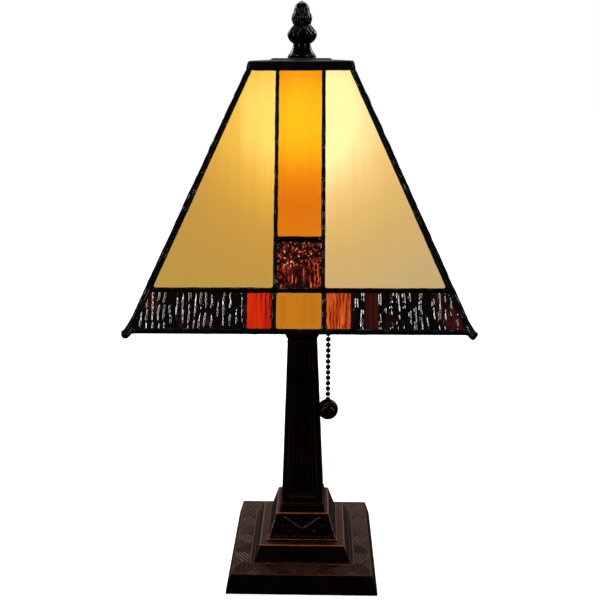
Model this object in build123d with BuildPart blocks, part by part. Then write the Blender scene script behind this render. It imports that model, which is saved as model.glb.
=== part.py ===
from build123d import *
import os
from math import atan2, cos, degrees, hypot, radians, sin

# Stained glass table lamp, as it comes apart on a bench.
# Millimetres, +Z up, front towards -Y. The origin is the centre of the felt's underside.

# ---- Base: three cast tiers, hollow underneath ----
FELT_T = 0.8
FELT_SIDE = 107.0
FELT_CORNER_R = 2.0
PLATE_SIDE = 109.3
PLATE_LIP_Z = 2.4
PLATE_TOP_SIDE = 102.1
PLATE_TOP_Z = 14.8
MID_SIDE = 70.7
MID_TOP_SIDE = 62.8
MID_TOP_Z = 26.3
TOP_RIM_SIDE = 51.8
TOP_RIM_Z = 27.7
TOP_FACE_SIDE = 50.2
TOP_SIDE = 39.0
BASE_TOP_Z = 46.0
CAST_WALL = 3.0
HOLLOW_INSET = 3.5
WEIGHT_SIDE = 52.0
WEIGHT_CORNER_R = 3.0
WEIGHT_LOW_Z = 15.4

# ---- Column: hollow tapered square casting ----
FOOT_SIDE = 33.9
FOOT_LIP_Z = 46.6
FOOT_TOP_SIDE = 31.3
SHAFT_LOW_Z = 51.9
SHAFT_LOW_SIDE = 30.7
SHAFT_TOP_Z = 179.0
SHAFT_TOP_SIDE = 20.3
HEAD_SIDE = 24.6
HEAD_LOW_Z = 184.0
COLUMN_TOP_Z = 187.0
COLUMN_WALL = 3.9
HEAD_WEB = 4.1
PANEL_DEPTH = 0.9
PANEL_LOW_V = 6.0
PANEL_TOP_V = 124.0
PANEL_LOW_HALF = 10.0
PANEL_TOP_HALF = 6.6

# ---- Threaded rod and its fasteners ----
ROD_R = 4.8
ROD_BORE_R = 3.2
ROD_LOW_Z = 10.0
ROD_TOP_Z = 196.0
THREAD_GAP = 0.05
NUT_ACROSS = 14.3
NUT_H = 3.0
WASHER_R = 10.0
WASHER_T = 1.3
ROD_HOLE_R = 5.2

# ---- Harp and its saddle ----
SADDLE_T = 1.3
SADDLE_LENGTH = 60.0
SADDLE_WIDTH = 12.0
SADDLE_CORNER_R = 3.0
HARP_FOOT_X = 27.0
HARP_WIRE_R = 1.5
POST_TOP_Z = 199.0
HARP_STRAIGHT_Z = 216.0
HARP_TOP_Z = 361.5
HARP_BEND = ((44, 258), (40, 305), (17, 351))
SLEEVE_R = 2.6
SLEEVE_LOW_Z = 195.0
SLEEVE_H = 10.0
STUD_R = 3.1
STUD_TOP_Z = 382.0
STUD_FLANGE_R = 10.0
STUD_FLANGE_T = 1.2
STUD_HUB_R = 5.0
STUD_CHAMFER = 0.8
SLEEVE_GAP = 0.06
RUN_GAP = 0.08

# ---- Lamp socket ----
SOCKET_R = 16.8
SOCKET_WALL = 0.8
SOCKET_SEAM_Z = 203.0
SOCKET_SHOULDER_Z = 199.5
SOCKET_FLAT_R = 9.0
SOCKET_HUB_R = 7.5
SOCKET_TOP_Z = 246.0
LINER_R = 15.8
LINER_WALL = 0.7
BODY_R = 13.9
BODY_LOW_Z = 206.0
BODY_TOP_Z = 221.5
ROTOR_Z = 213.0
ROTOR_R = 5.0
ROTOR_LENGTH = 8.0
ROTOR_FLAT_DEPTH = 1.3
AXLE_R = 1.5
AXLE_LENGTH = 16.0
SCREW_SHELL_R = 13.4
SCREW_SHELL_BORE_R = 12.95
SCREW_SHELL_TOP_Z = 244.0
SCREW_SHELL_T = 0.6
CONTACT_R = 2.5
CONTACT_H = 2.3
CONTACT_EDGE_R = 0.6
TERMINAL_Z = 218.5
TERMINAL_R = 1.2
TERMINAL_LENGTH = 3.5
TERMINAL_HEAD_R = 2.1
TERMINAL_HEAD_T = 0.8

# ---- Pull chain ----
CHAIN_X = 18.4
CHAIN_Y = -20.0
BEAD_R = 1.55
BEAD_PITCH = 4.1
LAST_BEAD_Z = 141.7
SWING_BEADS = 15
LINK_R = 0.4
BALL_R = 7.4
BALL_Z = 130.3
BALL_NECK_R = 1.3
GUIDE_Z = 214.0
GUIDE_R = 2.8
GUIDE_BORE_R = 1.9
GUIDE_TOP_Z = 217.0
MOUTH_FLARE = 1.0
MOUTH_FLARE_H = 2.4
MOUTH_TAPER = 18
GUIDE_LID = 1.0

# ---- Bulb ----
BULB_CAP_R = 12.85
BULB_R = 30.0
BULB_CENTRE_Z = 301.0
BULB_NECK_R = 11.85
BULB_NECK_LOW_Z = 231.0
BULB_NECK_TOP_Z = 247.0
BULB_WALL = 1.0
BULB_CAP_FLOOR_Z = 230.0
BULB_BUTTON_R = 2.4
BULB_CAP_CHAMFER = 0.6

# ---- Power cord and plug ----
CORD_WIDTH = 5.4
CORD_T = 2.8
CORD_HOLE_Z = 6.3
CORD_BEND_R = 7.0
BUSHING_R = 4.95
PLUG_Y = 114.0
PLUG_LENGTH = 28.0
PLUG_WIDTH = 19.0
PLUG_H = 13.0
PLUG_MID_Z = 6.8
PLUG_TAPER = 5.0
PLUG_CORNER_R = 2.0
BLADE_LENGTH = 17.0
BLADE_WIDTH = 6.3
BLADE_T = 1.5
BLADE_SPACING = 12.7
BLADE_ROOT = 8.0
BUSHING_INSET = 7.0
BUSHING_LIP = 0.9
BUSHING_LIP_T = 1.8
CORD_EXIT_Y = 58.0
CORD_DIP = (86, 1.8)

# ---- Shade: four equal sloping sides ----
RIM_Z = 214.0
RIM_HALF = 101.6
CROWN_Z = 364.0
CROWN_HALF = 33.0
GLASS_T = 3.0
SOLDER_PROUD = 0.8
SOLDER_LOW_Z = 215.25
SOLDER_TOP_Z = 363.6
MITRE_GAP = 0.05
TUBE_R = 2.4
TUBE_BORE_R = 1.5
TUBE_BELOW_RIM = 3.5
TUBE_TOP_Z = 362.3
RIM_BAND_HALF = 102.2
RIM_BAND_WIDTH = 4.0
RIM_BAND_LOW_Z = 213.9
RIM_BAND_TOP_Z = 215.2
# Lines of the pattern on one side: u runs across from the middle, v runs up the slope from the rim.
HIP_INSET_U = 3.2
BORDER_LOW_V = 3.1
BORDER_TOP_V = 24.5
FIELD_LOW_V = 27.5
SQUARE_TOP_V = 55.4
STRIP_LOW_V = 58.7
FIELD_TOP_V = 164.0
STRIP_HALF = 13.2
CREAM_U = 15.4
CENTRE_HALF = 13.4
ACCENT_U = 16.2
ACCENT_END_U = 30.7
DARK_U = 33.0

# ---- Shade cap and finial ----
CAP_LOW_Z = 363.7
CAP_LOW_SIDE = 67.8
CAP_TOP_Z = 368.9
CAP_TOP_SIDE = 65.8
CAP_WALL = 1.2
CAP_CORNER_R = 2.0
BOSS_LOW_SIDE = 39.4
BOSS_TOP_SIDE = 36.8
BOSS_TOP_Z = 370.4
CROWN_RING_HALF = 31.6
CROWN_RING_WIDTH = 3.1
FINIAL_LOW_Z = 370.45
FINIAL_TOP_Z = 406.0
FINIAL_BORE_TOP_Z = 384.0

# ---- Values worked out from the sizes above ----
SHADE_RISE = CROWN_Z - RIM_Z
SHADE_RUN = RIM_HALF - CROWN_HALF
SLOPE = hypot(SHADE_RISE, SHADE_RUN)
HIP_SHRINK = SHADE_RUN / SLOPE
SHAFT_RISE = SHAFT_TOP_Z - SHAFT_LOW_Z
SHAFT_RUN = (SHAFT_LOW_SIDE - SHAFT_TOP_SIDE) / 2
CHAIN_TURN = degrees(atan2(CHAIN_Y, CHAIN_X))
CHAIN_REACH = hypot(CHAIN_X, CHAIN_Y)
SWING_Z = LAST_BEAD_Z + SWING_BEADS * BEAD_PITCH
SADDLE_LOW_Z = COLUMN_TOP_Z + NUT_H + THREAD_GAP
SADDLE_TOP_Z = SADDLE_LOW_Z + SADDLE_T
TERMINAL_TURNS = (CHAIN_TURN + 135, CHAIN_TURN - 135)
SIDES = {"front": 0, "right": 90, "back": 180, "left": 270}


def square(side, height, corner=0):
    """A level square of this side at this height, its corners rounded if a radius is given."""
    with BuildSketch(Plane.XY.offset(height)) as outline:
        if corner:
            RectangleRounded(side, side, corner)
        else:
            Rectangle(side, side)
    return outline.sketch


def leaning_plane(turn, half, height, rise, run):
    """The plane of a side that leans in by run over rise, turned about Z from the front."""
    length = hypot(rise, run)
    across = (cos(radians(turn)), sin(radians(turn)))
    out = (across[1], -across[0])
    normal = (out[0] * rise / length, out[1] * rise / length, run / length)
    return Plane(
        origin=(out[0] * half, out[1] * half, height), x_dir=(*across, 0), z_dir=normal
    )


def shade_plane(turn):
    """The outer face of the glass on one side of the shade."""
    return leaning_plane(turn, RIM_HALF, RIM_Z, SHADE_RISE, SHADE_RUN)


def level_plane(turn, height):
    """A level plane whose X axis is turned about Z."""
    return Plane(
        origin=(0, 0, height), x_dir=(cos(radians(turn)), sin(radians(turn)), 0), z_dir=(0, 0, 1)
    )


def upright_plane(turn, height):
    """An upright plane through the Z axis that faces along a direction in plan."""
    return Plane(
        origin=(0, 0, height),
        x_dir=(-sin(radians(turn)), cos(radians(turn)), 0),
        z_dir=(cos(radians(turn)), sin(radians(turn)), 0),
    )


def hip_plane(turn, below=0):
    """The plane across the hip to the right of a side, at the rim or this far below it."""
    corner = radians(turn - 45)
    out = Vector(cos(corner), sin(corner), 0)
    direction = (Vector(0, 0, SHADE_RISE) - out * SHADE_RUN * 2**0.5).normalized()
    rim_corner = out * RIM_HALF * 2**0.5 + Vector(0, 0, RIM_Z)
    return Plane(origin=rim_corner - direction * below, z_dir=direction)


def hip_u(v):
    """How far across a pane may reach at this height up the slope."""
    return RIM_HALF - HIP_SHRINK * v - HIP_INSET_U


def block(u_low, u_high, v_low, v_high):
    """Corners of a rectangular pane."""
    return [(u_low, v_low), (u_high, v_low), (u_high, v_high), (u_low, v_high)]


def block_to_hip(u_low, v_low, v_high):
    """Corners of a pane whose right edge follows the hip."""
    return [(u_low, v_low), (hip_u(v_low), v_low), (hip_u(v_high), v_high), (u_low, v_high)]


def mirrored(corners):
    """The same pane on the other side of the middle."""
    return [(-u, v) for u, v in corners]


CREAM = block_to_hip(CREAM_U, FIELD_LOW_V, FIELD_TOP_V)
DARK = block_to_hip(DARK_U, BORDER_LOW_V, BORDER_TOP_V)
ACCENT = block(ACCENT_U, ACCENT_END_U, BORDER_LOW_V, BORDER_TOP_V)
PANES = {
    "cream_panes": [CREAM, mirrored(CREAM)],
    "amber_strip": [block(-STRIP_HALF, STRIP_HALF, STRIP_LOW_V, FIELD_TOP_V)],
    "ripple_square": [block(-STRIP_HALF, STRIP_HALF, FIELD_LOW_V, SQUARE_TOP_V)],
    "border_panes": [DARK, mirrored(DARK)],
    "accent_panes": [ACCENT, mirrored(ACCENT)],
    "centre_pane": [block(-CENTRE_HALF, CENTRE_HALF, BORDER_LOW_V, BORDER_TOP_V)],
}


def glass(turn, outlines):
    """The panes of one kind on one side, flush with the side's outer face."""
    with BuildPart() as panes:
        with BuildSketch(shade_plane(turn)):
            for corners in outlines:
                Polygon(*corners, align=None)
        extrude(amount=-GLASS_T)
    return panes


def solder_grid(turn):
    """The solder lines of one side: a thick sheet with an opening for every pane."""
    with BuildPart() as grid:
        with BuildSketch(shade_plane(turn).offset(SOLDER_PROUD)):
            Rectangle(2.2 * RIM_HALF, SLOPE + 20, align=(Align.CENTER, Align.MIN))
            for outlines in PANES.values():
                for corners in outlines:
                    Polygon(*corners, align=None, mode=Mode.SUBTRACT)
        extrude(amount=-GLASS_T - 2 * SOLDER_PROUD)
        with BuildSketch(level_plane(turn, SOLDER_LOW_Z)):
            reach = 1.1 * RIM_HALF
            Polygon(
                (0, -MITRE_GAP), (-reach, -reach - MITRE_GAP), (reach, -reach - MITRE_GAP), align=None
            )
        extrude(amount=SOLDER_TOP_Z - SOLDER_LOW_Z, mode=Mode.INTERSECT)
        for hip_turn in (turn, turn + 90):
            with BuildSketch(hip_plane(hip_turn - 90, below=TUBE_BELOW_RIM)):
                Circle(TUBE_R + MITRE_GAP)
            extrude(amount=2 * SLOPE, mode=Mode.SUBTRACT)
    return grid


def hip_tube(turn):
    """One corner tube of the shade, open at its lower end."""
    reach = (TUBE_TOP_Z - RIM_Z) / hip_plane(turn).z_dir.Z + TUBE_BELOW_RIM
    with BuildPart() as tube:
        with BuildSketch(hip_plane(turn, below=TUBE_BELOW_RIM)):
            Circle(TUBE_R)
            Circle(TUBE_BORE_R, mode=Mode.SUBTRACT)
        extrude(amount=reach)
    return tube


def hex_nut(height):
    """A plain hexagon nut that stands on this height."""
    with BuildPart() as nut:
        with BuildSketch(Plane.XY.offset(height)):
            RegularPolygon(NUT_ACROSS / 2, 6, major_radius=False)
            Circle(ROD_R + THREAD_GAP, mode=Mode.SUBTRACT)
        extrude(amount=NUT_H)
    return nut


def tube(outer, inner, low, high):
    """A plain upright tube on the Z axis."""
    with BuildPart() as pipe:
        with BuildSketch(Plane.XY.offset(low)):
            Circle(outer)
            Circle(inner, mode=Mode.SUBTRACT)
        extrude(amount=high - low)
    return pipe


pieces = {}

# ---- Felt pad under the base ----
with BuildPart() as felt_pad:
    with BuildSketch():
        RectangleRounded(FELT_SIDE, FELT_SIDE, FELT_CORNER_R)
    extrude(amount=FELT_T)
pieces["felt_pad"] = felt_pad

# ---- Base casting: wide plate, plain middle tier, narrow top tier ----
with BuildPart() as base_casting:
    loft([square(PLATE_SIDE, FELT_T), square(PLATE_SIDE, PLATE_LIP_Z)])
    loft([square(PLATE_SIDE, PLATE_LIP_Z), square(PLATE_TOP_SIDE, PLATE_TOP_Z)])
    loft([square(MID_SIDE, PLATE_TOP_Z), square(MID_TOP_SIDE, MID_TOP_Z)])
    loft([square(TOP_RIM_SIDE, MID_TOP_Z), square(TOP_RIM_SIDE, TOP_RIM_Z)])
    loft([square(TOP_FACE_SIDE, TOP_RIM_Z), square(TOP_SIDE, BASE_TOP_Z)])
    hollows = (
        (PLATE_SIDE, FELT_T, PLATE_TOP_SIDE, PLATE_TOP_Z - CAST_WALL),
        (MID_SIDE, PLATE_TOP_Z - CAST_WALL, MID_TOP_SIDE, MID_TOP_Z - CAST_WALL),
        (TOP_FACE_SIDE, MID_TOP_Z - CAST_WALL, TOP_SIDE, BASE_TOP_Z - CAST_WALL),
    )
    for low_side, low_z, high_side, high_z in hollows:
        inside = 2 * HOLLOW_INSET
        loft([square(low_side - inside, low_z), square(high_side - inside, high_z)], mode=Mode.SUBTRACT)
    with BuildSketch(Plane.XY.offset(BASE_TOP_Z)):
        Circle(ROD_HOLE_R)
    extrude(amount=-2 * CAST_WALL, mode=Mode.SUBTRACT)
    with BuildSketch(upright_plane(90, CORD_HOLE_Z)):
        Circle(BUSHING_R + THREAD_GAP)
    extrude(amount=PLATE_SIDE, mode=Mode.SUBTRACT)
pieces["base_casting"] = base_casting

# ---- Weight, washer and nut in the hollow of the base ----
with BuildPart() as base_weight:
    with BuildSketch(Plane.XY.offset(WEIGHT_LOW_Z)):
        RectangleRounded(WEIGHT_SIDE, WEIGHT_SIDE, WEIGHT_CORNER_R)
        Circle(ROD_HOLE_R, mode=Mode.SUBTRACT)
    extrude(amount=MID_TOP_Z - CAST_WALL - WEIGHT_LOW_Z)
pieces["base_weight"] = base_weight
washer_z = WEIGHT_LOW_Z - WASHER_T
pieces["base_washer"] = tube(WASHER_R, ROD_R + THREAD_GAP, washer_z, WEIGHT_LOW_Z)
pieces["base_nut"] = hex_nut(washer_z - NUT_H)

# ---- Column with a moulded foot, recessed panels and a flared head ----
with BuildPart() as column:
    loft([square(FOOT_SIDE, BASE_TOP_Z), square(FOOT_SIDE, FOOT_LIP_Z)])
    loft([square(FOOT_SIDE, FOOT_LIP_Z), square(FOOT_TOP_SIDE, SHAFT_LOW_Z)])
    loft([square(SHAFT_LOW_SIDE, SHAFT_LOW_Z), square(SHAFT_TOP_SIDE, SHAFT_TOP_Z)])
    loft([square(SHAFT_TOP_SIDE, SHAFT_TOP_Z), square(HEAD_SIDE, HEAD_LOW_Z)])
    loft([square(HEAD_SIDE, HEAD_LOW_Z), square(HEAD_SIDE, COLUMN_TOP_Z)])
    for turn in SIDES.values():
        with BuildSketch(leaning_plane(turn, SHAFT_LOW_SIDE / 2, SHAFT_LOW_Z, SHAFT_RISE, SHAFT_RUN)):
            Polygon(
                (-PANEL_LOW_HALF, PANEL_LOW_V),
                (PANEL_LOW_HALF, PANEL_LOW_V),
                (PANEL_TOP_HALF, PANEL_TOP_V),
                (-PANEL_TOP_HALF, PANEL_TOP_V),
                align=None,
            )
        extrude(amount=-PANEL_DEPTH, mode=Mode.SUBTRACT)
    loft(
        [
            square(SHAFT_LOW_SIDE - 2 * COLUMN_WALL, BASE_TOP_Z),
            square(SHAFT_TOP_SIDE - 2 * COLUMN_WALL, COLUMN_TOP_Z - HEAD_WEB),
        ],
        mode=Mode.SUBTRACT,
    )
    with BuildSketch(Plane.XY.offset(COLUMN_TOP_Z)):
        Circle(ROD_R + THREAD_GAP)
    extrude(amount=-2 * HEAD_WEB, mode=Mode.SUBTRACT)
pieces["column"] = column
pieces["column_nut"] = hex_nut(COLUMN_TOP_Z)
pieces["threaded_rod"] = tube(ROD_R, ROD_BORE_R, ROD_LOW_Z, ROD_TOP_Z)

# ---- Harp saddle: a strip with a post at each end ----
with BuildPart() as harp_saddle:
    with BuildSketch(Plane.XY.offset(SADDLE_LOW_Z)):
        RectangleRounded(SADDLE_LENGTH, SADDLE_WIDTH, SADDLE_CORNER_R)
        Circle(ROD_R + THREAD_GAP, mode=Mode.SUBTRACT)
    extrude(amount=SADDLE_T)
    with BuildSketch(Plane.XY.offset(SADDLE_LOW_Z)):
        with Locations((-HARP_FOOT_X, 0), (HARP_FOOT_X, 0)):
            Circle(HARP_WIRE_R)
    extrude(amount=POST_TOP_Z - SADDLE_LOW_Z)
pieces["harp_saddle"] = harp_saddle

# ---- Harp: one bent wire that carries the shade over the bulb ----
with BuildPart() as harp:
    harp_low_z = POST_TOP_Z + THREAD_GAP
    with BuildLine(Plane.XZ) as harp_path:
        Line((HARP_FOOT_X, harp_low_z), (HARP_FOOT_X, HARP_STRAIGHT_Z))
        Spline(
            (HARP_FOOT_X, HARP_STRAIGHT_Z),
            *HARP_BEND,
            (0, HARP_TOP_Z),
            *[(-x, z) for x, z in reversed(HARP_BEND)],
            (-HARP_FOOT_X, HARP_STRAIGHT_Z),
            tangents=((0, 1), (0, -1)),
        )
        Line((-HARP_FOOT_X, HARP_STRAIGHT_Z), (-HARP_FOOT_X, harp_low_z))
    with BuildSketch(Plane.XY.offset(harp_low_z)):
        with Locations((HARP_FOOT_X, 0)):
            Circle(HARP_WIRE_R)
    sweep()
pieces["harp"] = harp

# ---- Sleeves that lock the harp to the saddle posts ----
with BuildPart() as harp_sleeves:
    with BuildSketch(Plane.XY.offset(SLEEVE_LOW_Z)):
        with Locations((-HARP_FOOT_X, 0), (HARP_FOOT_X, 0)):
            Circle(SLEEVE_R)
            Circle(HARP_WIRE_R + SLEEVE_GAP, mode=Mode.SUBTRACT)
    extrude(amount=SLEEVE_H)
pieces["harp_sleeves"] = harp_sleeves

# ---- Stud on top of the harp: the shade rests on its flange, the finial screws on its end ----
with BuildPart() as harp_stud:
    wire_top_z = HARP_TOP_Z + HARP_WIRE_R + THREAD_GAP
    flange_top_z = BOSS_TOP_Z - CAP_WALL - THREAD_GAP
    with BuildSketch(Plane.XZ):
        with BuildLine():
            Polyline(
                (0, wire_top_z),
                (STUD_HUB_R, wire_top_z),
                (STUD_HUB_R, flange_top_z - 2 * STUD_FLANGE_T),
                (STUD_FLANGE_R, flange_top_z - STUD_FLANGE_T),
                (STUD_FLANGE_R, flange_top_z),
                (STUD_R, flange_top_z),
                (STUD_R, STUD_TOP_Z - STUD_CHAMFER),
                (STUD_R - STUD_CHAMFER, STUD_TOP_Z),
                (0, STUD_TOP_Z),
                close=True,
            )
        make_face()
    revolve(axis=Axis.Z)
pieces["harp_stud"] = harp_stud

# ---- Socket cap: a domed cup that screws on the rod ----
with BuildPart() as socket_cap:
    cap_low_z = SADDLE_TOP_Z + THREAD_GAP
    inner_r = SOCKET_R - SOCKET_WALL
    with BuildSketch(Plane.XZ):
        with BuildLine():
            Line((ROD_R + THREAD_GAP, cap_low_z), (SOCKET_FLAT_R, cap_low_z))
            ThreePointArc((SOCKET_FLAT_R, cap_low_z), (14.5, 194.4), (SOCKET_R, SOCKET_SHOULDER_Z))
            Polyline(
                (SOCKET_R, SOCKET_SHOULDER_Z),
                (SOCKET_R, SOCKET_SEAM_Z),
                (inner_r, SOCKET_SEAM_Z),
                (inner_r, SOCKET_SHOULDER_Z),
            )
            ThreePointArc(
                (inner_r, SOCKET_SHOULDER_Z), (13.8, 195.1), (SOCKET_FLAT_R, cap_low_z + SOCKET_WALL)
            )
            Polyline(
                (SOCKET_FLAT_R, cap_low_z + SOCKET_WALL),
                (SOCKET_HUB_R, cap_low_z + SOCKET_WALL),
                (SOCKET_HUB_R, ROD_TOP_Z),
                (ROD_R + THREAD_GAP, ROD_TOP_Z),
                (ROD_R + THREAD_GAP, cap_low_z),
            )
        make_face()
    revolve(axis=Axis.Z)
pieces["socket_cap"] = socket_cap

# ---- Socket shell and its paper liner, each with a hole for the chain guide ----
with BuildPart() as socket_shell:
    with BuildSketch(Plane.XY.offset(SOCKET_SEAM_Z + THREAD_GAP)):
        Circle(SOCKET_R)
        Circle(SOCKET_R - SOCKET_WALL, mode=Mode.SUBTRACT)
    extrude(amount=SOCKET_TOP_Z - SOCKET_SEAM_Z)
    with BuildSketch(upright_plane(CHAIN_TURN, GUIDE_Z)):
        Circle(GUIDE_R + THREAD_GAP)
    extrude(amount=2 * SOCKET_R, mode=Mode.SUBTRACT)
pieces["socket_shell"] = socket_shell

with BuildPart() as socket_liner:
    with BuildSketch(Plane.XY.offset(BODY_LOW_Z - 1)):
        Circle(LINER_R)
        Circle(LINER_R - LINER_WALL, mode=Mode.SUBTRACT)
    extrude(amount=SCREW_SHELL_TOP_Z - BODY_LOW_Z)
    with BuildSketch(upright_plane(CHAIN_TURN, GUIDE_Z)):
        Circle(GUIDE_R + 0.2)
    extrude(amount=2 * SOCKET_R, mode=Mode.SUBTRACT)
pieces["socket_liner"] = socket_liner

# ---- Insulating switch body: a slot for the rotor, axle bores, a chain bore, screw holes ----
with BuildPart() as socket_body:
    with BuildSketch(Plane.XY.offset(BODY_LOW_Z)):
        Circle(BODY_R)
    extrude(amount=BODY_TOP_Z - BODY_LOW_Z)
    with BuildSketch(level_plane(CHAIN_TURN, BODY_LOW_Z)):
        Rectangle(2 * ROTOR_R + 0.8, ROTOR_LENGTH + 0.2)
    extrude(amount=ROTOR_Z + ROTOR_R + 0.4 - BODY_LOW_Z, mode=Mode.SUBTRACT)
    with BuildSketch(upright_plane(CHAIN_TURN + 90, ROTOR_Z)):
        Circle(AXLE_R + SLEEVE_GAP)
    extrude(amount=AXLE_LENGTH / 2 + 0.1, both=True, mode=Mode.SUBTRACT)
    with BuildSketch(upright_plane(CHAIN_TURN, GUIDE_Z)):
        Circle(GUIDE_BORE_R)
    extrude(amount=2 * BODY_R, mode=Mode.SUBTRACT)
    for turn in TERMINAL_TURNS:
        with BuildSketch(upright_plane(turn, TERMINAL_Z).offset(BODY_R)):
            Circle(TERMINAL_R + THREAD_GAP)
        extrude(amount=-TERMINAL_LENGTH - 0.5, mode=Mode.SUBTRACT)
pieces["socket_body"] = socket_body

# ---- Terminal screws for the two cores of the cord ----
with BuildPart() as terminal_screws:
    for turn in TERMINAL_TURNS:
        with BuildSketch(upright_plane(turn, TERMINAL_Z).offset(BODY_R - TERMINAL_LENGTH)):
            Circle(TERMINAL_R)
        extrude(amount=TERMINAL_LENGTH + 0.1)
        with BuildSketch(upright_plane(turn, TERMINAL_Z).offset(BODY_R + 0.1)):
            Circle(TERMINAL_HEAD_R)
        extrude(amount=TERMINAL_HEAD_T)
pieces["terminal_screws"] = terminal_screws

# ---- Switch rotor: a drum with two contact flats and an axle ----
with BuildPart() as switch_rotor:
    with BuildSketch(upright_plane(CHAIN_TURN + 90, ROTOR_Z)):
        Circle(ROTOR_R)
    extrude(amount=ROTOR_LENGTH / 2, both=True)
    for flat_side in (-1, 1):
        with BuildSketch(upright_plane(CHAIN_TURN + 90, ROTOR_Z)):
            with Locations((0, flat_side * ROTOR_R)):
                Rectangle(2 * ROTOR_R, 2 * ROTOR_FLAT_DEPTH)
        extrude(amount=ROTOR_LENGTH, both=True, mode=Mode.SUBTRACT)
    with BuildSketch(upright_plane(CHAIN_TURN + 90, ROTOR_Z)):
        Circle(AXLE_R)
    extrude(amount=AXLE_LENGTH / 2, both=True)
pieces["switch_rotor"] = switch_rotor

# ---- Screw shell that holds the bulb, and the contact in its floor ----
with BuildPart() as screw_shell:
    with BuildSketch(Plane.XY.offset(BODY_TOP_Z + THREAD_GAP)):
        Circle(SCREW_SHELL_R)
    extrude(amount=SCREW_SHELL_TOP_Z - BODY_TOP_Z)
    with BuildSketch(Plane.XY.offset(BODY_TOP_Z + SCREW_SHELL_T)):
        Circle(SCREW_SHELL_BORE_R)
    extrude(amount=SCREW_SHELL_TOP_Z - BODY_TOP_Z, mode=Mode.SUBTRACT)
    with BuildSketch(Plane.XY.offset(BODY_TOP_Z)):
        Circle(CONTACT_R + 0.5)
    extrude(amount=2 * SCREW_SHELL_T, mode=Mode.SUBTRACT)
pieces["screw_shell"] = screw_shell

with BuildPart() as centre_contact:
    with BuildSketch(Plane.XY.offset(BODY_TOP_Z)):
        Circle(CONTACT_R)
    extrude(amount=CONTACT_H)
    fillet(centre_contact.edges().sort_by(Axis.Z)[-1], radius=CONTACT_EDGE_R)
pieces["centre_contact"] = centre_contact

# ---- Chain guide: an upright barrel with a bell mouth, on a stub from the socket ----
with BuildPart() as chain_guide:
    with BuildSketch(upright_plane(CHAIN_TURN, GUIDE_Z).offset(BODY_R + 0.1)):
        Circle(GUIDE_R)
    extrude(amount=CHAIN_REACH - BODY_R - 1)
    with BuildSketch(Plane.XY.offset(SWING_Z)):
        with Locations((CHAIN_X, CHAIN_Y)):
            Circle(GUIDE_R)
    extrude(amount=GUIDE_TOP_Z - SWING_Z)
    with BuildSketch(Plane.XY.offset(SWING_Z)):
        with Locations((CHAIN_X, CHAIN_Y)):
            Circle(GUIDE_R + MOUTH_FLARE)
    extrude(amount=MOUTH_FLARE_H, taper=MOUTH_TAPER)
    with BuildSketch(Plane.XY.offset(SWING_Z)):
        with Locations((CHAIN_X, CHAIN_Y)):
            Circle(GUIDE_BORE_R)
    extrude(amount=GUIDE_TOP_Z - SWING_Z - GUIDE_LID, mode=Mode.SUBTRACT)
    with BuildSketch(Plane.XY.offset(SWING_Z)):
        with Locations((CHAIN_X, CHAIN_Y)):
            Circle(GUIDE_BORE_R + 0.7 * MOUTH_FLARE)
    extrude(amount=0.8 * MOUTH_FLARE_H, taper=MOUTH_TAPER, mode=Mode.SUBTRACT)
    with BuildSketch(upright_plane(CHAIN_TURN, GUIDE_Z)):
        Circle(GUIDE_BORE_R)
    extrude(amount=CHAIN_REACH, mode=Mode.SUBTRACT)
pieces["chain_guide"] = chain_guide


def bead_string(low_z, count, link_low_z, link_high_z):
    """A run of hollow-chain beads on its link wire, hanging under the guide's mouth."""
    with BuildPart() as beads:
        with BuildSketch(Plane.XY.offset(link_low_z)):
            with Locations((CHAIN_X, CHAIN_Y)):
                Circle(LINK_R)
        extrude(amount=link_high_z - link_low_z)
        with Locations([(CHAIN_X, CHAIN_Y, low_z + i * BEAD_PITCH) for i in range(count)]):
            Sphere(BEAD_R)
    return beads


# ---- Pull chain: the beads in the guide, the hanging beads, and the ball ----
pieces["chain_connector"] = bead_string(SWING_Z, 3, SWING_Z, SWING_Z + 2 * BEAD_PITCH)
chain_low_z = LAST_BEAD_Z - BEAD_R - 0.5
pieces["pull_chain"] = bead_string(LAST_BEAD_Z, SWING_BEADS, chain_low_z, SWING_Z - BEAD_R - SLEEVE_GAP)
with BuildPart() as chain_ball:
    with Locations((CHAIN_X, CHAIN_Y, BALL_Z)):
        Sphere(BALL_R)
    with BuildSketch(Plane.XY.offset(BALL_Z)):
        with Locations((CHAIN_X, CHAIN_Y)):
            Circle(BALL_NECK_R)
    extrude(amount=chain_low_z - THREAD_GAP - BALL_Z)
pieces["chain_ball"] = chain_ball

# ---- Bulb: screw cap and glass envelope ----
with BuildPart() as bulb_cap:
    cap_bore_r = BULB_NECK_R + THREAD_GAP
    cap_low_z = BODY_TOP_Z + CONTACT_H + 0.1
    with BuildSketch(Plane.XZ):
        with BuildLine():
            Polyline(
                (0, cap_low_z),
                (BULB_BUTTON_R, cap_low_z),
                (BULB_BUTTON_R + 1.6, cap_low_z + 1),
                (BULB_CAP_R - BULB_CAP_CHAMFER, cap_low_z + 3.6),
                (BULB_CAP_R, cap_low_z + 3.6 + BULB_CAP_CHAMFER),
                (BULB_CAP_R, SOCKET_TOP_Z),
                (cap_bore_r, SOCKET_TOP_Z),
                (cap_bore_r, BULB_CAP_FLOOR_Z),
                (0, BULB_CAP_FLOOR_Z),
                close=True,
            )
        make_face()
    revolve(axis=Axis.Z)
pieces["bulb_cap"] = bulb_cap

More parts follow.
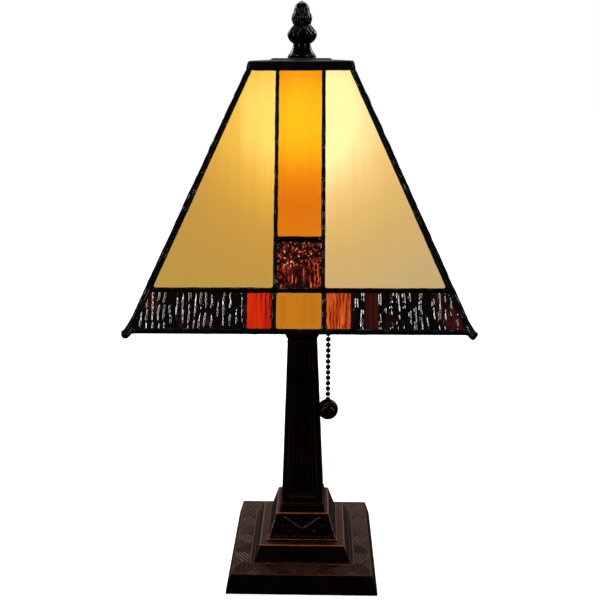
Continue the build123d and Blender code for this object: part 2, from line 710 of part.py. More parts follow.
with BuildPart() as bulb_glass:
    inner_neck_r = BULB_NECK_R - BULB_WALL
    inner_r = BULB_R - BULB_WALL
    with BuildSketch(Plane.XZ):
        with BuildLine():
            Line((BULB_NECK_R, BULB_NECK_LOW_Z), (BULB_NECK_R, BULB_NECK_TOP_Z))
            Spline(
                (BULB_NECK_R, BULB_NECK_TOP_Z), (22, 275), (BULB_R, BULB_CENTRE_Z), tangents=((0, 1), (0, 1))
            )
            RadiusArc((BULB_R, BULB_CENTRE_Z), (0, BULB_CENTRE_Z + BULB_R), -BULB_R)
            Line((0, BULB_CENTRE_Z + BULB_R), (0, BULB_CENTRE_Z + inner_r))
            RadiusArc((0, BULB_CENTRE_Z + inner_r), (inner_r, BULB_CENTRE_Z), inner_r)
            Spline(
                (inner_r, BULB_CENTRE_Z),
                (21, 275),
                (inner_neck_r, BULB_NECK_TOP_Z),
                tangents=((0, -1), (0, -1)),
            )
            Line((inner_neck_r, BULB_NECK_TOP_Z), (inner_neck_r, BULB_NECK_LOW_Z))
            Line((inner_neck_r, BULB_NECK_LOW_Z), (BULB_NECK_R, BULB_NECK_LOW_Z))
        make_face()
    revolve(axis=Axis.Z)
pieces["bulb_glass"] = bulb_glass

# ---- Power cord: flat twin flex from the socket, down the rod and out at the back ----
with BuildPart() as power_cord:
    cord_end_z = ROD_TOP_Z + 2
    with BuildLine(Plane.YZ) as cord_path:
        Line((0, cord_end_z), (0, CORD_HOLE_Z + CORD_BEND_R))
        RadiusArc((0, CORD_HOLE_Z + CORD_BEND_R), (CORD_BEND_R, CORD_HOLE_Z), -CORD_BEND_R)
        Line((CORD_BEND_R, CORD_HOLE_Z), (CORD_EXIT_Y, CORD_HOLE_Z))
        Spline(
            (CORD_EXIT_Y, CORD_HOLE_Z), CORD_DIP, (PLUG_Y, PLUG_MID_Z), tangents=((1, 0), (1, 0))
        )
    with BuildSketch(Plane.XY.offset(cord_end_z)):
        SlotOverall(CORD_WIDTH, CORD_T)
    sweep()
pieces["power_cord"] = power_cord

# ---- Cord bushing in the back of the base ----
with BuildPart() as cord_bushing:
    flange_y = PLATE_SIDE / 2 + 0.1
    with BuildSketch(upright_plane(90, CORD_HOLE_Z).offset(PLATE_SIDE / 2 - BUSHING_INSET)):
        Circle(BUSHING_R)
    extrude(amount=BUSHING_INSET + 0.1)
    with BuildSketch(upright_plane(90, CORD_HOLE_Z).offset(flange_y)):
        Circle(BUSHING_R + BUSHING_LIP)
    extrude(amount=BUSHING_LIP_T)
    with BuildSketch(upright_plane(90, CORD_HOLE_Z)):
        Circle(CORD_WIDTH / 2 + 0.15)
    extrude(amount=PLATE_SIDE, mode=Mode.SUBTRACT)
pieces["cord_bushing"] = cord_bushing

# ---- Plug body and its two blades ----
with BuildPart() as plug_body:
    with BuildSketch(upright_plane(90, PLUG_MID_Z).offset(PLUG_Y + THREAD_GAP)):
        RectangleRounded(PLUG_WIDTH - PLUG_TAPER, PLUG_H - 0.8 * PLUG_TAPER, PLUG_CORNER_R)
    with BuildSketch(upright_plane(90, PLUG_MID_Z).offset(PLUG_Y + PLUG_LENGTH / 2)):
        RectangleRounded(PLUG_WIDTH, PLUG_H, PLUG_CORNER_R)
    loft()
    with BuildSketch(upright_plane(90, PLUG_MID_Z).offset(PLUG_Y + PLUG_LENGTH / 2)):
        RectangleRounded(PLUG_WIDTH, PLUG_H, PLUG_CORNER_R)
    extrude(amount=PLUG_LENGTH / 2)
    with BuildSketch(upright_plane(90, PLUG_MID_Z).offset(PLUG_Y + PLUG_LENGTH)):
        with Locations((-BLADE_SPACING / 2, 0), (BLADE_SPACING / 2, 0)):
            Rectangle(BLADE_T, BLADE_WIDTH)
    extrude(amount=-BLADE_ROOT, mode=Mode.SUBTRACT)
pieces["plug_body"] = plug_body

with BuildPart() as plug_blades:
    with BuildSketch(upright_plane(90, PLUG_MID_Z).offset(PLUG_Y + PLUG_LENGTH - BLADE_ROOT)):
        with Locations((-BLADE_SPACING / 2, 0), (BLADE_SPACING / 2, 0)):
            Rectangle(BLADE_T, BLADE_WIDTH)
    extrude(amount=BLADE_ROOT + BLADE_LENGTH)
    tip_edges = plug_blades.edges().filter_by(Axis.X).group_by(Axis.Y)[-1]
    chamfer(tip_edges, length=1)
pieces["plug_blades"] = plug_blades

# ---- Shade cap: a shallow square tray with a raised square boss ----
with BuildPart() as shade_cap:
    loft([square(CAP_LOW_SIDE, CAP_LOW_Z, CAP_CORNER_R), square(CAP_TOP_SIDE, CAP_TOP_Z, CAP_CORNER_R)])
    loft([square(BOSS_LOW_SIDE, CAP_TOP_Z), square(BOSS_TOP_SIDE, BOSS_TOP_Z)])
    loft(
        [
            square(CAP_LOW_SIDE - 2 * CAP_WALL, CAP_LOW_Z),
            square(CAP_TOP_SIDE - 2 * CAP_WALL, CAP_TOP_Z - CAP_WALL),
        ],
        mode=Mode.SUBTRACT,
    )
    with BuildSketch(Plane.XY.offset(CAP_LOW_Z)):
        Rectangle(BOSS_TOP_SIDE - 2 * CAP_WALL, BOSS_TOP_SIDE - 2 * CAP_WALL)
    extrude(amount=BOSS_TOP_Z - CAP_WALL - CAP_LOW_Z, mode=Mode.SUBTRACT)
    with BuildSketch(Plane.XY.offset(BOSS_TOP_Z)):
        Circle(STUD_R + RUN_GAP)
    extrude(amount=-2 * CAP_WALL, mode=Mode.SUBTRACT)
pieces["shade_cap"] = shade_cap

# ---- Crown ring that the tops of the panels are soldered to ----
with BuildPart() as crown_ring:
    with BuildSketch(Plane.XY.offset(SOLDER_TOP_Z + MITRE_GAP)):
        Rectangle(2 * CROWN_RING_HALF, 2 * CROWN_RING_HALF)
        inner = 2 * (CROWN_RING_HALF - CROWN_RING_WIDTH)
        Rectangle(inner, inner, mode=Mode.SUBTRACT)
    extrude(amount=CAP_TOP_Z - CAP_WALL - SOLDER_TOP_Z - 2 * MITRE_GAP)
pieces["crown_ring"] = crown_ring

# ---- Band that stiffens the rim of the shade ----
with BuildPart() as rim_band:
    with BuildSketch(Plane.XY.offset(RIM_BAND_LOW_Z)):
        Rectangle(2 * RIM_BAND_HALF, 2 * RIM_BAND_HALF)
        inner = 2 * (RIM_BAND_HALF - RIM_BAND_WIDTH)
        Rectangle(inner, inner, mode=Mode.SUBTRACT)
    extrude(amount=RIM_BAND_TOP_Z - RIM_BAND_LOW_Z)
    for turn in SIDES.values():
        with BuildSketch(hip_plane(turn, below=2 * TUBE_BELOW_RIM)):
            Circle(TUBE_R + MITRE_GAP)
        extrude(amount=4 * TUBE_BELOW_RIM, mode=Mode.SUBTRACT)
pieces["rim_band"] = rim_band

# ---- Corner tubes and solder lines of the shade ----
tubes = [hip_tube(turn) for turn in SIDES.values()]
with BuildPart() as hip_tubes:
    for corner_tube in tubes:
        add(corner_tube.part)
pieces["hip_tubes"] = hip_tubes

grids = [solder_grid(turn) for turn in SIDES.values()]
with BuildPart() as solder_lattice:
    for grid in grids:
        add(grid.part)
pieces["solder_lattice"] = solder_lattice

# ---- Glass panes, side by side ----
for side, turn in SIDES.items():
    for kind, outlines in PANES.items():
        pieces[f"{side}_{kind}"] = glass(turn, outlines)

# ---- Finial: flared foot, neck, leafy bulb, ring of scales and bud, drilled for the stud ----
with BuildPart() as finial:
    bore_r = STUD_R + RUN_GAP
    with BuildSketch(Plane.XZ):
        with BuildLine():
            Polyline((bore_r, FINIAL_LOW_Z), (9.3, FINIAL_LOW_Z), (9.5, 371.9))
            ThreePointArc((9.5, 371.9), (6.9, 375.6), (5.6, 379.6))
            Spline((5.6, 379.6), (8.5, 382.5), (9.4, 385.6), (8.1, 388.2), (5.6, 391.3))
            ThreePointArc((5.6, 391.3), (6.4, 395.4), (4.9, 399.1))
            Spline((4.9, 399.1), (3.5, 402.7), (0, FINIAL_TOP_Z), tangents=((-0.3, 1), (-1, 0.3)))
            Polyline(
                (0, FINIAL_TOP_Z),
                (0, FINIAL_BORE_TOP_Z),
                (bore_r, FINIAL_BORE_TOP_Z),
                (bore_r, FINIAL_LOW_Z),
            )
        make_face()
    revolve(axis=Axis.Z)
pieces["finial"] = finial

# ---- Write one file per piece ----
os.makedirs("parts", exist_ok=True)
for name, piece in pieces.items():
    piece.part.label = name
    export_step(piece.part, f"parts/{name}.step")
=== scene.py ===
from math import ceil, cos, hypot, pi, radians, sin

import bmesh
import bpy
import numpy as np
from mathutils import Euler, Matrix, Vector
from mathutils.bvhtree import BVHTree


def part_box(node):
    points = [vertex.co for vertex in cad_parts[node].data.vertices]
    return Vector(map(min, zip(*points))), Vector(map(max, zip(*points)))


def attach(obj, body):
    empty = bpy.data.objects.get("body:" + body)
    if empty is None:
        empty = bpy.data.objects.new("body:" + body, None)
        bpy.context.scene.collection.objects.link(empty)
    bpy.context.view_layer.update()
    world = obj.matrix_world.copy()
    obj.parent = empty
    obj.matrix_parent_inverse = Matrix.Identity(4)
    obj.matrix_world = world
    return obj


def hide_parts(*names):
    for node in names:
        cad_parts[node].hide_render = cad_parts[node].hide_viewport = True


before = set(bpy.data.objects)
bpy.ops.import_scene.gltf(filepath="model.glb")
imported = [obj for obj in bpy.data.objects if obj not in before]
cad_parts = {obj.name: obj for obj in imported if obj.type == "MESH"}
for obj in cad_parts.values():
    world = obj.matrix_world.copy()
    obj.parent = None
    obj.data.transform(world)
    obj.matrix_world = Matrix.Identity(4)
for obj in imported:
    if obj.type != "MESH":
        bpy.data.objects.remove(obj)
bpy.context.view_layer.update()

# Lengths are in metres; MM writes the small ones in millimetres.
MM = 0.001
UP = np.array((0.0, 0.0, 1.0))
SIDES = ("front", "right", "back", "left")

# ---- Glass ----
RIPPLE_STEP = 0.42 * MM
SHEET_STEP = 2.5 * MM
RIPPLE_PITCH = 3.5 * MM
RIPPLE_DEPTH = 0.46 * MM
# How pale each cream pane is, from 0 for rich to 1 for pale: left then right on each side.
CREAM_TONES = {"front": (0.0, 1.0), "right": (0.35, 0.7), "back": (0.15, 0.8), "left": (0.6, 0.25)}
# The stained stripe starts and ends within these distances of the pane's left edge.
STRIPE_STARTS = (5.5 * MM, 7 * MM)
STRIPE_ENDS = (13 * MM, 15 * MM)
# Distances from the bright middle of the bulb over which the glass darkens.
GLOW_NEAR = 50 * MM
GLOW_FAR = 130 * MM
# Share of the glass colour that room light shows.
GLASS_BODY = 0.12

# ---- Solder ----
SOLDER_VOXEL = 0.55 * MM
SOLDER_SMOOTHING = 4
SOLDER_PROUD = 0.85 * MM
SOLDER_LAP = 0.4 * MM
RIM_BELOW_GLASS = 1.5 * MM
RIM_LINE_HALF = 1.7 * MM
TOP_LINE_HALF = 0.8 * MM
HIP_LINE_HALF = 1.35 * MM
HIP_LINE_OUT = 1.15 * MM
# Which of a side's lines run from hip to hip, and so end in a drop of solder.
HIP_TO_HIP_LINES = (0, 1, 3)

# ---- Corner tubes ----
TUBE_R = 1.75 * MM
TUBE_SWELL = 0.95 * MM
TUBE_SWELL_REACH = 7 * MM
TUBE_WALL = 0.6 * MM
TUBE_SHORT = 2.8 * MM
TUBE_BEND = 1.3 * MM
TUBE_DRAWN = (0.3 * MM, 1.0 * MM)
TUBE_LINED = 14 * MM
LINER_SHIFTS = (-0.15 * MM, 0.02 * MM)

# ---- Base casting ----
CAST_STEP = 0.5 * MM
CAST_WALL = (3.5 * MM, 3.0 * MM)
CAST_CORNER = 0.7 * MM
ROD_HOLE = 6 * MM
BAND_FRAME = 2.6 * MM
ZIGZAG_PERIOD = 24 * MM
ZIGZAG_HEIGHT = 11 * MM
ZIGZAG_LINES = (-4.8 * MM, -1.6 * MM, 1.6 * MM, 4.8 * MM)
LINE_WIDTH = 0.7 * MM
LINE_HEIGHT = 0.6 * MM
# Marks on the top tier, as distances from its middle and from its lower edge.
STROKE_FOOT = (1.2 * MM, 7.5 * MM)
STROKE_TIP = (12.8 * MM, 15 * MM)
STUDS = ((14.5 * MM, 9.0 * MM), (9.2 * MM, 5.6 * MM))
DASH_PITCH = 6.2 * MM
DASH_HEIGHT = 1.6 * MM

# ---- Column ----
COLUMN_STEP = 0.42 * MM
COLUMN_CORNER = 0.6 * MM
COLUMN_BORE = 6.2 * MM
PANEL_SHARE = 0.65
PANEL_SINK = 0.9 * MM
PANEL_ENDS = (0.047, 0.975)
# Blades cast in relief on each panel, in millimetres: across, foot and tip above the panel's end, lean.
COLUMN_BLADES = (
    (-4.6, 3, 14, 0.0), (-3.5, 3, 19, 0.2), (-2.4, 3, 11, 0.0), (-1.2, 3, 24, 0.3), (0.0, 3, 15, 0.0),
    (1.1, 3, 20, -0.2), (2.3, 3, 12, 0.0), (3.4, 3, 27, 0.5), (4.5, 3, 13, 0.0), (2.2, 26, 33, 2.6),
    (-0.9, 24, 62, 1.2), (0.4, 40, 52, -2.6),
)

# ---- Cap and finial ----
CAP_WALL = 1.1 * MM
CAP_INSET = 1.0 * MM
CAP_CORNER = 2.2 * MM
STUD_HOLE = 3.4 * MM
FINIAL_BORE = 3.2 * MM
FINIAL_BORE_DEPTH = 13.5 * MM

# ---- Chain ----
BEAD_PITCH = 4.1 * MM
BEAD_SWELL = 0.25 * MM
LINK_R = 0.4 * MM
BALL_COLLAR = 1.5 * MM

# ---- Socket, bulb and plug ----
SOCKET_WALL = 0.8 * MM
SOCKET_HUB = 5.0 * MM
SOCKET_BEAD = 0.5 * MM
GRIP_FLUTES = 36
ENVELOPE_WALL = 0.9 * MM
THREAD_PITCH = 3.6 * MM
THREAD_DEPTH = 0.42 * MM
SCREW_BORE = 11.9 * MM
SCREW_FLOOR = 6.5 * MM
PLUG_RIDGE = 0.35 * MM
PLUG_RIDGES = 9

# ---- Camera, in the lamp's frame ----
CAMERA_PLACE = (0.0124, -0.54425, 0.3624)
CAMERA_PITCH = 0.2805
CAMERA_YAW = 0.026
CAMERA_ROLL = -0.003
CAMERA_LENS = 47.67


# ---------------- numbers ----------------

def noise(points, size, seed, cells=32):
    """Smooth noise from -1 to 1 whose lumps are about this size; size may differ along each axis."""
    table = np.random.default_rng(seed).uniform(-1, 1, (cells,) * 3)
    scaled = np.asarray(points, float) / size
    cell = np.floor(scaled).astype(int)
    part = scaled - cell
    part = part * part * (3 - 2 * part)
    total = np.zeros(scaled.shape[:-1])
    for corner in np.ndindex(2, 2, 2):
        weight = np.prod(np.where(corner, part, 1 - part), axis=-1)
        total += weight * table[tuple(np.moveaxis((cell + corner) % cells, -1, 0))]
    return total


def sheet_noise(u, v, layer, wide, tall, seed):
    """Noise on a flat sheet, in lumps of this width and height."""
    return noise(np.stack([u, v, np.full_like(u, layer)], axis=-1), (wide, tall, 1), seed)


def smooth_step(value, low, high):
    """0 below low, 1 above high, smooth between them."""
    t = np.clip((value - low) / (high - low), 0, 1)
    return t * t * (3 - 2 * t)


def window(value, rise, fall):
    """0, then up to 1 over the rise and back to 0 over the fall."""
    return smooth_step(value, *rise) * (1 - smooth_step(value, *fall))


def ridge(distance, width):
    """A rounded line: 1 on the line and falling away within this width."""
    return np.exp(-((distance / width) ** 2))


def unit(vector):
    return vector / np.linalg.norm(vector)


def sheet_axes(normal):
    """Across and up the slope of a flat sheet with this outward normal."""
    across = unit(np.cross(UP, normal))
    return across, np.cross(normal, across)


def segment_distance(x, y, start, end):
    """How far each point is from a straight stroke."""
    along = np.subtract(end, start)
    t = ((x - start[0]) * along[0] + (y - start[1]) * along[1]) / (along @ along)
    t = np.clip(t, 0, 1)
    return np.hypot(x - start[0] - t * along[0], y - start[1] - t * along[1])


def resampled(path, step):
    """The same polyline with points no further apart than step."""
    path = np.asarray(path, float)
    rows = []
    for start, end in zip(path[:-1], path[1:]):
        count = max(1, ceil(np.linalg.norm(end - start) / step))
        rows += [start + (end - start) * i / count for i in range(count)]
    return np.array([*rows, path[-1]])


def rounded(path, radius, points=4):
    """A polyline whose corners are rounded over."""
    path = [np.array(p, float) for p in path]
    rows = [path[0]]
    for before, corner, after in zip(path[:-2], path[1:-1], path[2:]):
        reach_in = min(radius, 0.45 * np.linalg.norm(corner - before))
        reach_out = min(radius, 0.45 * np.linalg.norm(after - corner))
        start = corner + unit(before - corner) * reach_in
        end = corner + unit(after - corner) * reach_out
        for t in np.linspace(0, 1, points):
            rows.append((1 - t) ** 2 * start + 2 * t * (1 - t) * corner + t**2 * end)
    return [*rows, path[-1]]


# ---------------- what the frame says ----------------

def middle(node):
    """The centre of a CAD node's box."""
    low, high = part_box(node)
    return (low + high) / 2


def node_points(node):
    return np.array([v.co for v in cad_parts[node].data.vertices])


def outer_profile(node, square=False):
    """The outline of a turned or square CAD node as (reach, height) pairs from the bottom up."""
    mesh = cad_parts[node].data
    points = [v.co.copy() for v in mesh.vertices]
    tree = BVHTree.FromPolygons(points, [tuple(p.vertices) for p in mesh.polygons])
    nudge = 0.02 * MM
    found = set()
    for point in points:
        x, y = point.x, point.y
        if square and abs(abs(x) - abs(y)) > nudge:
            continue
        out = Vector((x, y, 0)).normalized()
        start = point + out * nudge + Vector((0, 0, nudge / 2))
        if out.length == 0 or tree.ray_cast(start, out)[0] is None:
            reach = abs(x) if square else hypot(x, y)
            found.add((round(reach, 5), round(point.z, 5)))
    widest = max(reach for reach, _ in found)
    kept = [f for f in found if not square or f[0] > 0.35 * widest]
    return sorted(kept, key=lambda pair: (pair[1], -pair[0]))


def islands(bm):
    """The vertices of a mesh, parted into its separate solids."""
    unseen = set(bm.verts)
    while unseen:
        island, waiting = set(), [next(iter(unseen))]
        while waiting:
            vert = waiting.pop()
            if vert not in island:
                island.add(vert)
                waiting += [e.other_vert(vert) for e in vert.link_edges]
        unseen -= island
        yield island


def pane_sheets(node):
    """The panes of one CAD node, left to right: (corners of the outer face, outward normal, thickness)."""
    centre = np.array(middle(node))
    out = np.zeros(3)
    axis = int(np.argmax(np.abs(centre[:2])))
    out[axis] = np.sign(centre[axis])
    bm = bmesh.new()
    bm.from_mesh(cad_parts[node].data)
    bmesh.ops.remove_doubles(bm, verts=bm.verts, dist=0.005 * MM)
    sheets = []
    for island in islands(bm):
        faces = {f for vert in island for f in vert.link_faces}
        normal = np.array(max(faces, key=lambda f: f.calc_area() * (np.dot(f.normal, out) > 0)).normal)
        coords = np.array([vert.co for vert in island])
        level = coords @ normal
        across, slope = sheet_axes(normal)
        outer = coords[level > level.max() - 0.05 * MM]
        low, high = np.split(outer[np.argsort(outer @ slope)], 2)
        low, high = low[np.argsort(low @ across)], high[np.argsort(high @ across)]
        sheets.append((np.array([low[0], low[-1], high[-1], high[0]]), normal, np.ptp(level)))
    bm.free()
    across = np.cross(UP, out)
    return sorted(sheets, key=lambda sheet: sheet[0].mean(0) @ across)


# ---------------- mesh building ----------------

class Shape:
    """Points, faces and named point values, gathered from several surfaces into one mesh."""

    def __init__(self):
        self.points = []
        self.faces = []
        self.marks = {}
        self.count = 0

    def add(self, points, faces, **marks):
        for name in {*self.marks, *marks}:
            held = self.marks.setdefault(name, [np.zeros(self.count)])
            held.append(np.broadcast_to(marks.get(name, 0.0), len(points)))
        self.points.append(points)
        self.faces += [[i + self.count for i in face] for face in faces]
        self.count += len(points)

    def grid(self, points, close_rows=False, close_cols=False, caps=False, **marks):
        """A surface from a grid of points; caps closes the first and last row of a tube."""
        rows, cols = points.shape[:2]
        index = np.arange(rows * cols).reshape(rows, cols)
        if close_cols:
            index = np.hstack([index, index[:, :1]])
        if close_rows:
            index = np.vstack([index, index[:1]])
        corners = (index[:-1, :-1], index[:-1, 1:], index[1:, 1:], index[1:, :-1])
        faces = np.stack(corners, axis=-1).reshape(-1, 4).tolist()
        if caps:
            faces += [index[0, :cols][::-1].tolist(), index[-1, :cols].tolist()]
        flat = {name: np.broadcast_to(value, (rows, cols)).ravel() for name, value in marks.items()}
        self.add(points.reshape(-1, 3), faces, **flat)

    def mesh(self, name, sharp=40):
        """The finished mesh, smooth except at edges sharper than this many degrees."""
        mesh = bpy.data.meshes.new(name)
        mesh.from_pydata(np.concatenate(self.points).tolist(), [], self.faces)
        for mark, parts in self.marks.items():
            values = np.concatenate(parts).astype(np.float32)
            mesh.attributes.new(mark, "FLOAT", "POINT").data.foreach_set("value", values)
        bm = bmesh.new()
        bm.from_mesh(mesh)
        bmesh.ops.remove_doubles(bm, verts=bm.verts, dist=0.001 * MM)
        bmesh.ops.recalc_face_normals(bm, faces=bm.faces)
        bm.to_mesh(mesh)
        bm.free()
        mesh.shade_smooth()
        mesh.set_sharp_from_angle(angle=radians(sharp))
        return mesh


def ring_shape(points, **marks):
    """A shape made of one grid that closes both ways, like the skin of a ring."""
    shape = Shape()
    shape.grid(points, close_rows=True, close_cols=True, **marks)
    return shape


def place(name, shape, body, slot, material, stands_for=(), sharp=40):
    """Makes a piece from a shape or a mesh and lets it ride on a CAD body."""
    mesh = shape.mesh(name, sharp) if isinstance(shape, Shape) else shape
    mesh.name = name
    obj = bpy.data.objects.new(name, mesh)
    bpy.context.collection.objects.link(obj)
    mesh.materials.append(material)
    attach(obj, body)
    if stands_for:
        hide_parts(*stands_for)


def dress(material, soften, *nodes):
    """Gives CAD nodes their material and softens their edges."""
    for node in nodes:
        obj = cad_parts[node]
        obj.data.materials.clear()
        obj.data.materials.append(material)
        weld = obj.modifiers.new("weld", "WELD")
        weld.merge_threshold = 0.002 * MM
        if soften:
            bevel = obj.modifiers.new("soft_edges", "BEVEL")
            bevel.width = soften
            bevel.segments = 3
            bevel.limit_method = "ANGLE"
            bevel.angle_limit = radians(40)
            bevel.use_clamp_overlap = True
        obj.data.shade_smooth()


def grid_normals(points):
    """Unit normals of a grid whose columns close, by differences between neighbours."""
    along_row = np.roll(points, -1, 1) - np.roll(points, 1, 1)
    normal = np.cross(along_row, np.gradient(points, axis=0))
    length = np.linalg.norm(normal, axis=-1, keepdims=True)
    return normal / np.maximum(length, 1e-12)


def edge_wear(points, reach=2, full=0.12 * MM):
    """How far each point of a grid stands out from its neighbours: 0 on flats, near 1 on crisp edges."""
    mean = np.zeros_like(points)
    padded = np.pad(points, ((reach, reach), (0, 0), (0, 0)), mode="edge")
    rows = len(points)
    for shift in range(2 * reach + 1):
        mean += padded[shift : shift + rows] / (2 * reach + 1)
    spread = sum(np.roll(points, s, 1) for s in range(-reach, reach + 1)) / (2 * reach + 1)
    raised = np.sum((2 * points - mean - spread) * grid_normals(points), axis=-1)
    return np.clip(raised / full, -1, 1)


def rubbed(edges, relief):
    """Wear for a casting: full on its own edges, slight on its relief, none in hollows."""
    return np.where(relief < 0, relief, np.maximum(edges, 0.3 * relief))


def turned(profile, turns=64, relief=None, centre=(0, 0)):
    """A grid turned about an upright axis from (radius, height) pairs; relief(angle, height) adds to it."""
    profile = np.asarray(profile)
    angle = np.linspace(0, 2 * pi, turns, endpoint=False)
    radius = np.repeat(profile[:, :1], turns, axis=1)
    height = np.repeat(profile[:, 1:], turns, axis=1)
    if relief is not None:
        lift = relief(np.broadcast_to(angle, radius.shape), height)
        radius = radius + lift * smooth_step(radius, 0, 1.5 * MM)
    x = centre[0] + radius * np.cos(angle)
    y = centre[1] + radius * np.sin(angle)
    return np.stack([x, y, height], axis=-1)


def square_ring(per_side, per_corner):
    """Stations round a square with rounded corners: (turn of the side, share along it, corner angle)."""
    stations = []
    for turn in (0, pi / 2, pi, 3 * pi / 2):
        stations += [(turn, share, 0.0) for share in np.linspace(-1, 1, per_side + 1)]
        stations += [(turn, 1.0, pi / 2 * i / per_corner) for i in range(1, per_corner)]
    return np.array(stations).T


def square_surface(profile, corner, per_side, relief=None):
    """A grid round four equal sides; relief(side, across, reach, height) raises it along its normal."""
    turn, share, bend = square_ring(per_side, 4)
    reach, height = np.asarray(profile).T[..., None]
    flat = reach - corner
    x = share * flat + corner * np.sin(bend)
    y = -flat - corner * np.cos(bend)
    side, reach, height = np.broadcast_arrays(np.round(turn / (pi / 2)), reach, height)
    c, s = np.cos(turn), np.sin(turn)
    points = np.stack([x * c - y * s, x * s + y * c, height], axis=-1)
    if relief is None:
        return points
    return points + grid_normals(points) * relief(side, x, reach, height)[..., None]


def cast_grain(side, across, reach, height, depth, size, seed):
    """The faint unevenness of a cast or pressed face."""
    return depth * noise(np.stack([across, reach + side, height], axis=-1), size, seed)


def swept(path, section, side=(1.0, 0.0, 0.0)):
    """A tube grid along a path: section holds (across, up) pairs for every station of the path."""
    path = np.asarray(path, float)
    ahead = np.gradient(path, axis=0)
    ahead /= np.linalg.norm(ahead, axis=1, keepdims=True)
    across = np.asarray(side) - ahead * (ahead @ np.asarray(side))[:, None]
    across /= np.linalg.norm(across, axis=1, keepdims=True)
    up = np.cross(across, ahead)
    section = np.broadcast_to(section, (len(path), *np.shape(section)[-2:]))
    return path[:, None] + across[:, None] * section[..., :1] + up[:, None] * section[..., 1:]


def ring(points, power=1.0):
    """Points round a circle of radius 1, or a squarer ring for a power below 1."""
    angle = np.linspace(0, 2 * pi, points, endpoint=False)
    circle = np.stack([np.cos(angle), np.sin(angle)], axis=-1)
    return np.sign(circle) * np.abs(circle) ** power


def ball_profile(radius, centre_z, points=18):
    """Half a circle as (radius, height) pairs, from the bottom up."""
    angle = np.linspace(0, pi, points)
    return np.stack([radius * np.sin(angle), centre_z - radius * np.cos(angle)], axis=1)


# ---------------- shader building ----------------

def linear(colour):
    """An sRGB colour written from 0 to 255, in linear light."""
    share = np.array(colour) / 255
    return tuple(np.where(share <= 0.04045, share / 12.92, ((share + 0.055) / 1.055) ** 2.4))


class Nodes:
    """Short calls for building a node tree."""

    def __init__(self, tree):
        self.tree = tree

    def feed(self, socket, value):
        """Links a node's output to a socket, or sets the socket's plain value."""
        if isinstance(value, bpy.types.NodeSocket):
            self.tree.links.new(value, socket)
        elif socket.type == "RGBA":
            socket.default_value = (*value[:3], 1.0)
        else:
            socket.default_value = value

    def node(self, kind, sockets=None, **settings):
        node = self.tree.nodes.new(kind)
        for name, value in settings.items():
            setattr(node, name, value)
        for socket, value in (sockets or {}).items():
            self.feed(node.inputs[socket], value)
        return node

    def math(self, operation, *values, clamp=False):
        inputs = dict(enumerate(values))
        return self.node("ShaderNodeMath", inputs, operation=operation, use_clamp=clamp).outputs[0]

    def mix(self, share, a, b, blend_type="MIX"):
        """Colour a where share is 0 and colour b where it is 1."""
        inputs = {0: share, 6: a, 7: b}
        return self.node("ShaderNodeMix", inputs, data_type="RGBA", blend_type=blend_type).outputs[2]

    def tint(self, share, a, b):
        """The same for sRGB colours written from 0 to 255."""
        return self.mix(share, linear(a), linear(b))

    def blend(self, share, a, b):
        """The same for plain numbers."""
        return self.node("ShaderNodeMix", {0: share, 2: a, 3: b}, data_type="FLOAT").outputs[0]

    def levels(self, value, low, high, curve="SMOOTHSTEP"):
        """0 where the value is low and 1 where it is high."""
        inputs = {"Value": value, "From Min": low, "From Max": high}
        return self.node("ShaderNodeMapRange", inputs, interpolation_type=curve).outputs[0]


class Shader(Nodes):
    """One material, with one surface fed by its own nodes."""

    def __init__(self, name, **surface):
        self.material = bpy.data.materials.new(name)
        self.material.use_nodes = True
        super().__init__(self.material.node_tree)
        self.surface = self.tree.nodes["Principled BSDF"]
        self.where = self.node("ShaderNodeTexCoord").outputs["Object"]
        self.set(**surface)

    def set(self, **surface):
        for name, value in surface.items():
            self.feed(self.surface.inputs[name.replace("_", " ").title().replace("Ior", "IOR")], value)

    def noise(self, size, detail=3.0, stretch=(1, 1, 1), where=None):
        """Noise from 0 to 1 whose lumps are about this size, drawn out where stretch is below 1."""
        scale = [s / size for s in stretch]
        mapping = self.node("ShaderNodeMapping", {"Vector": where or self.where, "Scale": scale})
        inputs = {"Vector": mapping.outputs[0], "Scale": 1.0, "Detail": detail}
        return self.node("ShaderNodeTexNoise", inputs).outputs[0]

    def mark(self, name):
        return self.node("ShaderNodeAttribute", attribute_name=name).outputs["Fac"]

    def sheet_noise(self, size, detail=3.0, drawn=1.0):
        """Noise on a flat pane, in the pane's own coordinates, drawn out up its slope."""
        where = self.node("ShaderNodeAttribute", attribute_name="sheet").outputs["Vector"]
        return self.noise(size, detail, (1, drawn, 1), where)

    def ramp(self, share, *stops):
        """A colour that runs through (position, colour) stops."""
        node = self.node("ShaderNodeValToRGB", {"Fac": share})
        elements = node.color_ramp.elements
        while len(elements) < len(stops):
            elements.new(0.5)
        for element, (position, colour) in zip(elements, stops):
            element.position = position
            element.color = (*linear(colour), 1.0)
        return node.outputs[0]

    def bump(self, height, depth, strength):
        inputs = {"Height": height, "Distance": depth, "Strength": strength}
        self.set(normal=self.node("ShaderNodeBump", inputs).outputs[0])


# ---------------- glass materials ----------------

def glow(shader):
    """How far a point is from the bright middle of the bulb: 0 at the nearest glass, 1 at the rim."""
    low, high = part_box("bulb_glass")
    bulb = ((low.x + high.x) / 2, (low.y + high.y) / 2, high.z - 0.3 * (high.x - low.x))
    away = shader.node("ShaderNodeVectorMath", {0: shader.where, 1: bulb}, operation="DISTANCE")
    return shader.levels(away.outputs["Value"], GLOW_NEAR, GLOW_FAR, "LINEAR")


def streaks(shader, size=5 * MM, drawn=0.06):
    """Faint streaks along the slope of a pane."""
    return shader.sheet_noise(size, 4, drawn)


def lit_glass(shader, colour, strength):
    """Lights the glass from behind with this colour, over a darker body of the same colour."""
    dim = shader.mix(GLASS_BODY, (0, 0, 0), colour)
    shader.set(base_color=dim, emission_color=colour, emission_strength=strength)


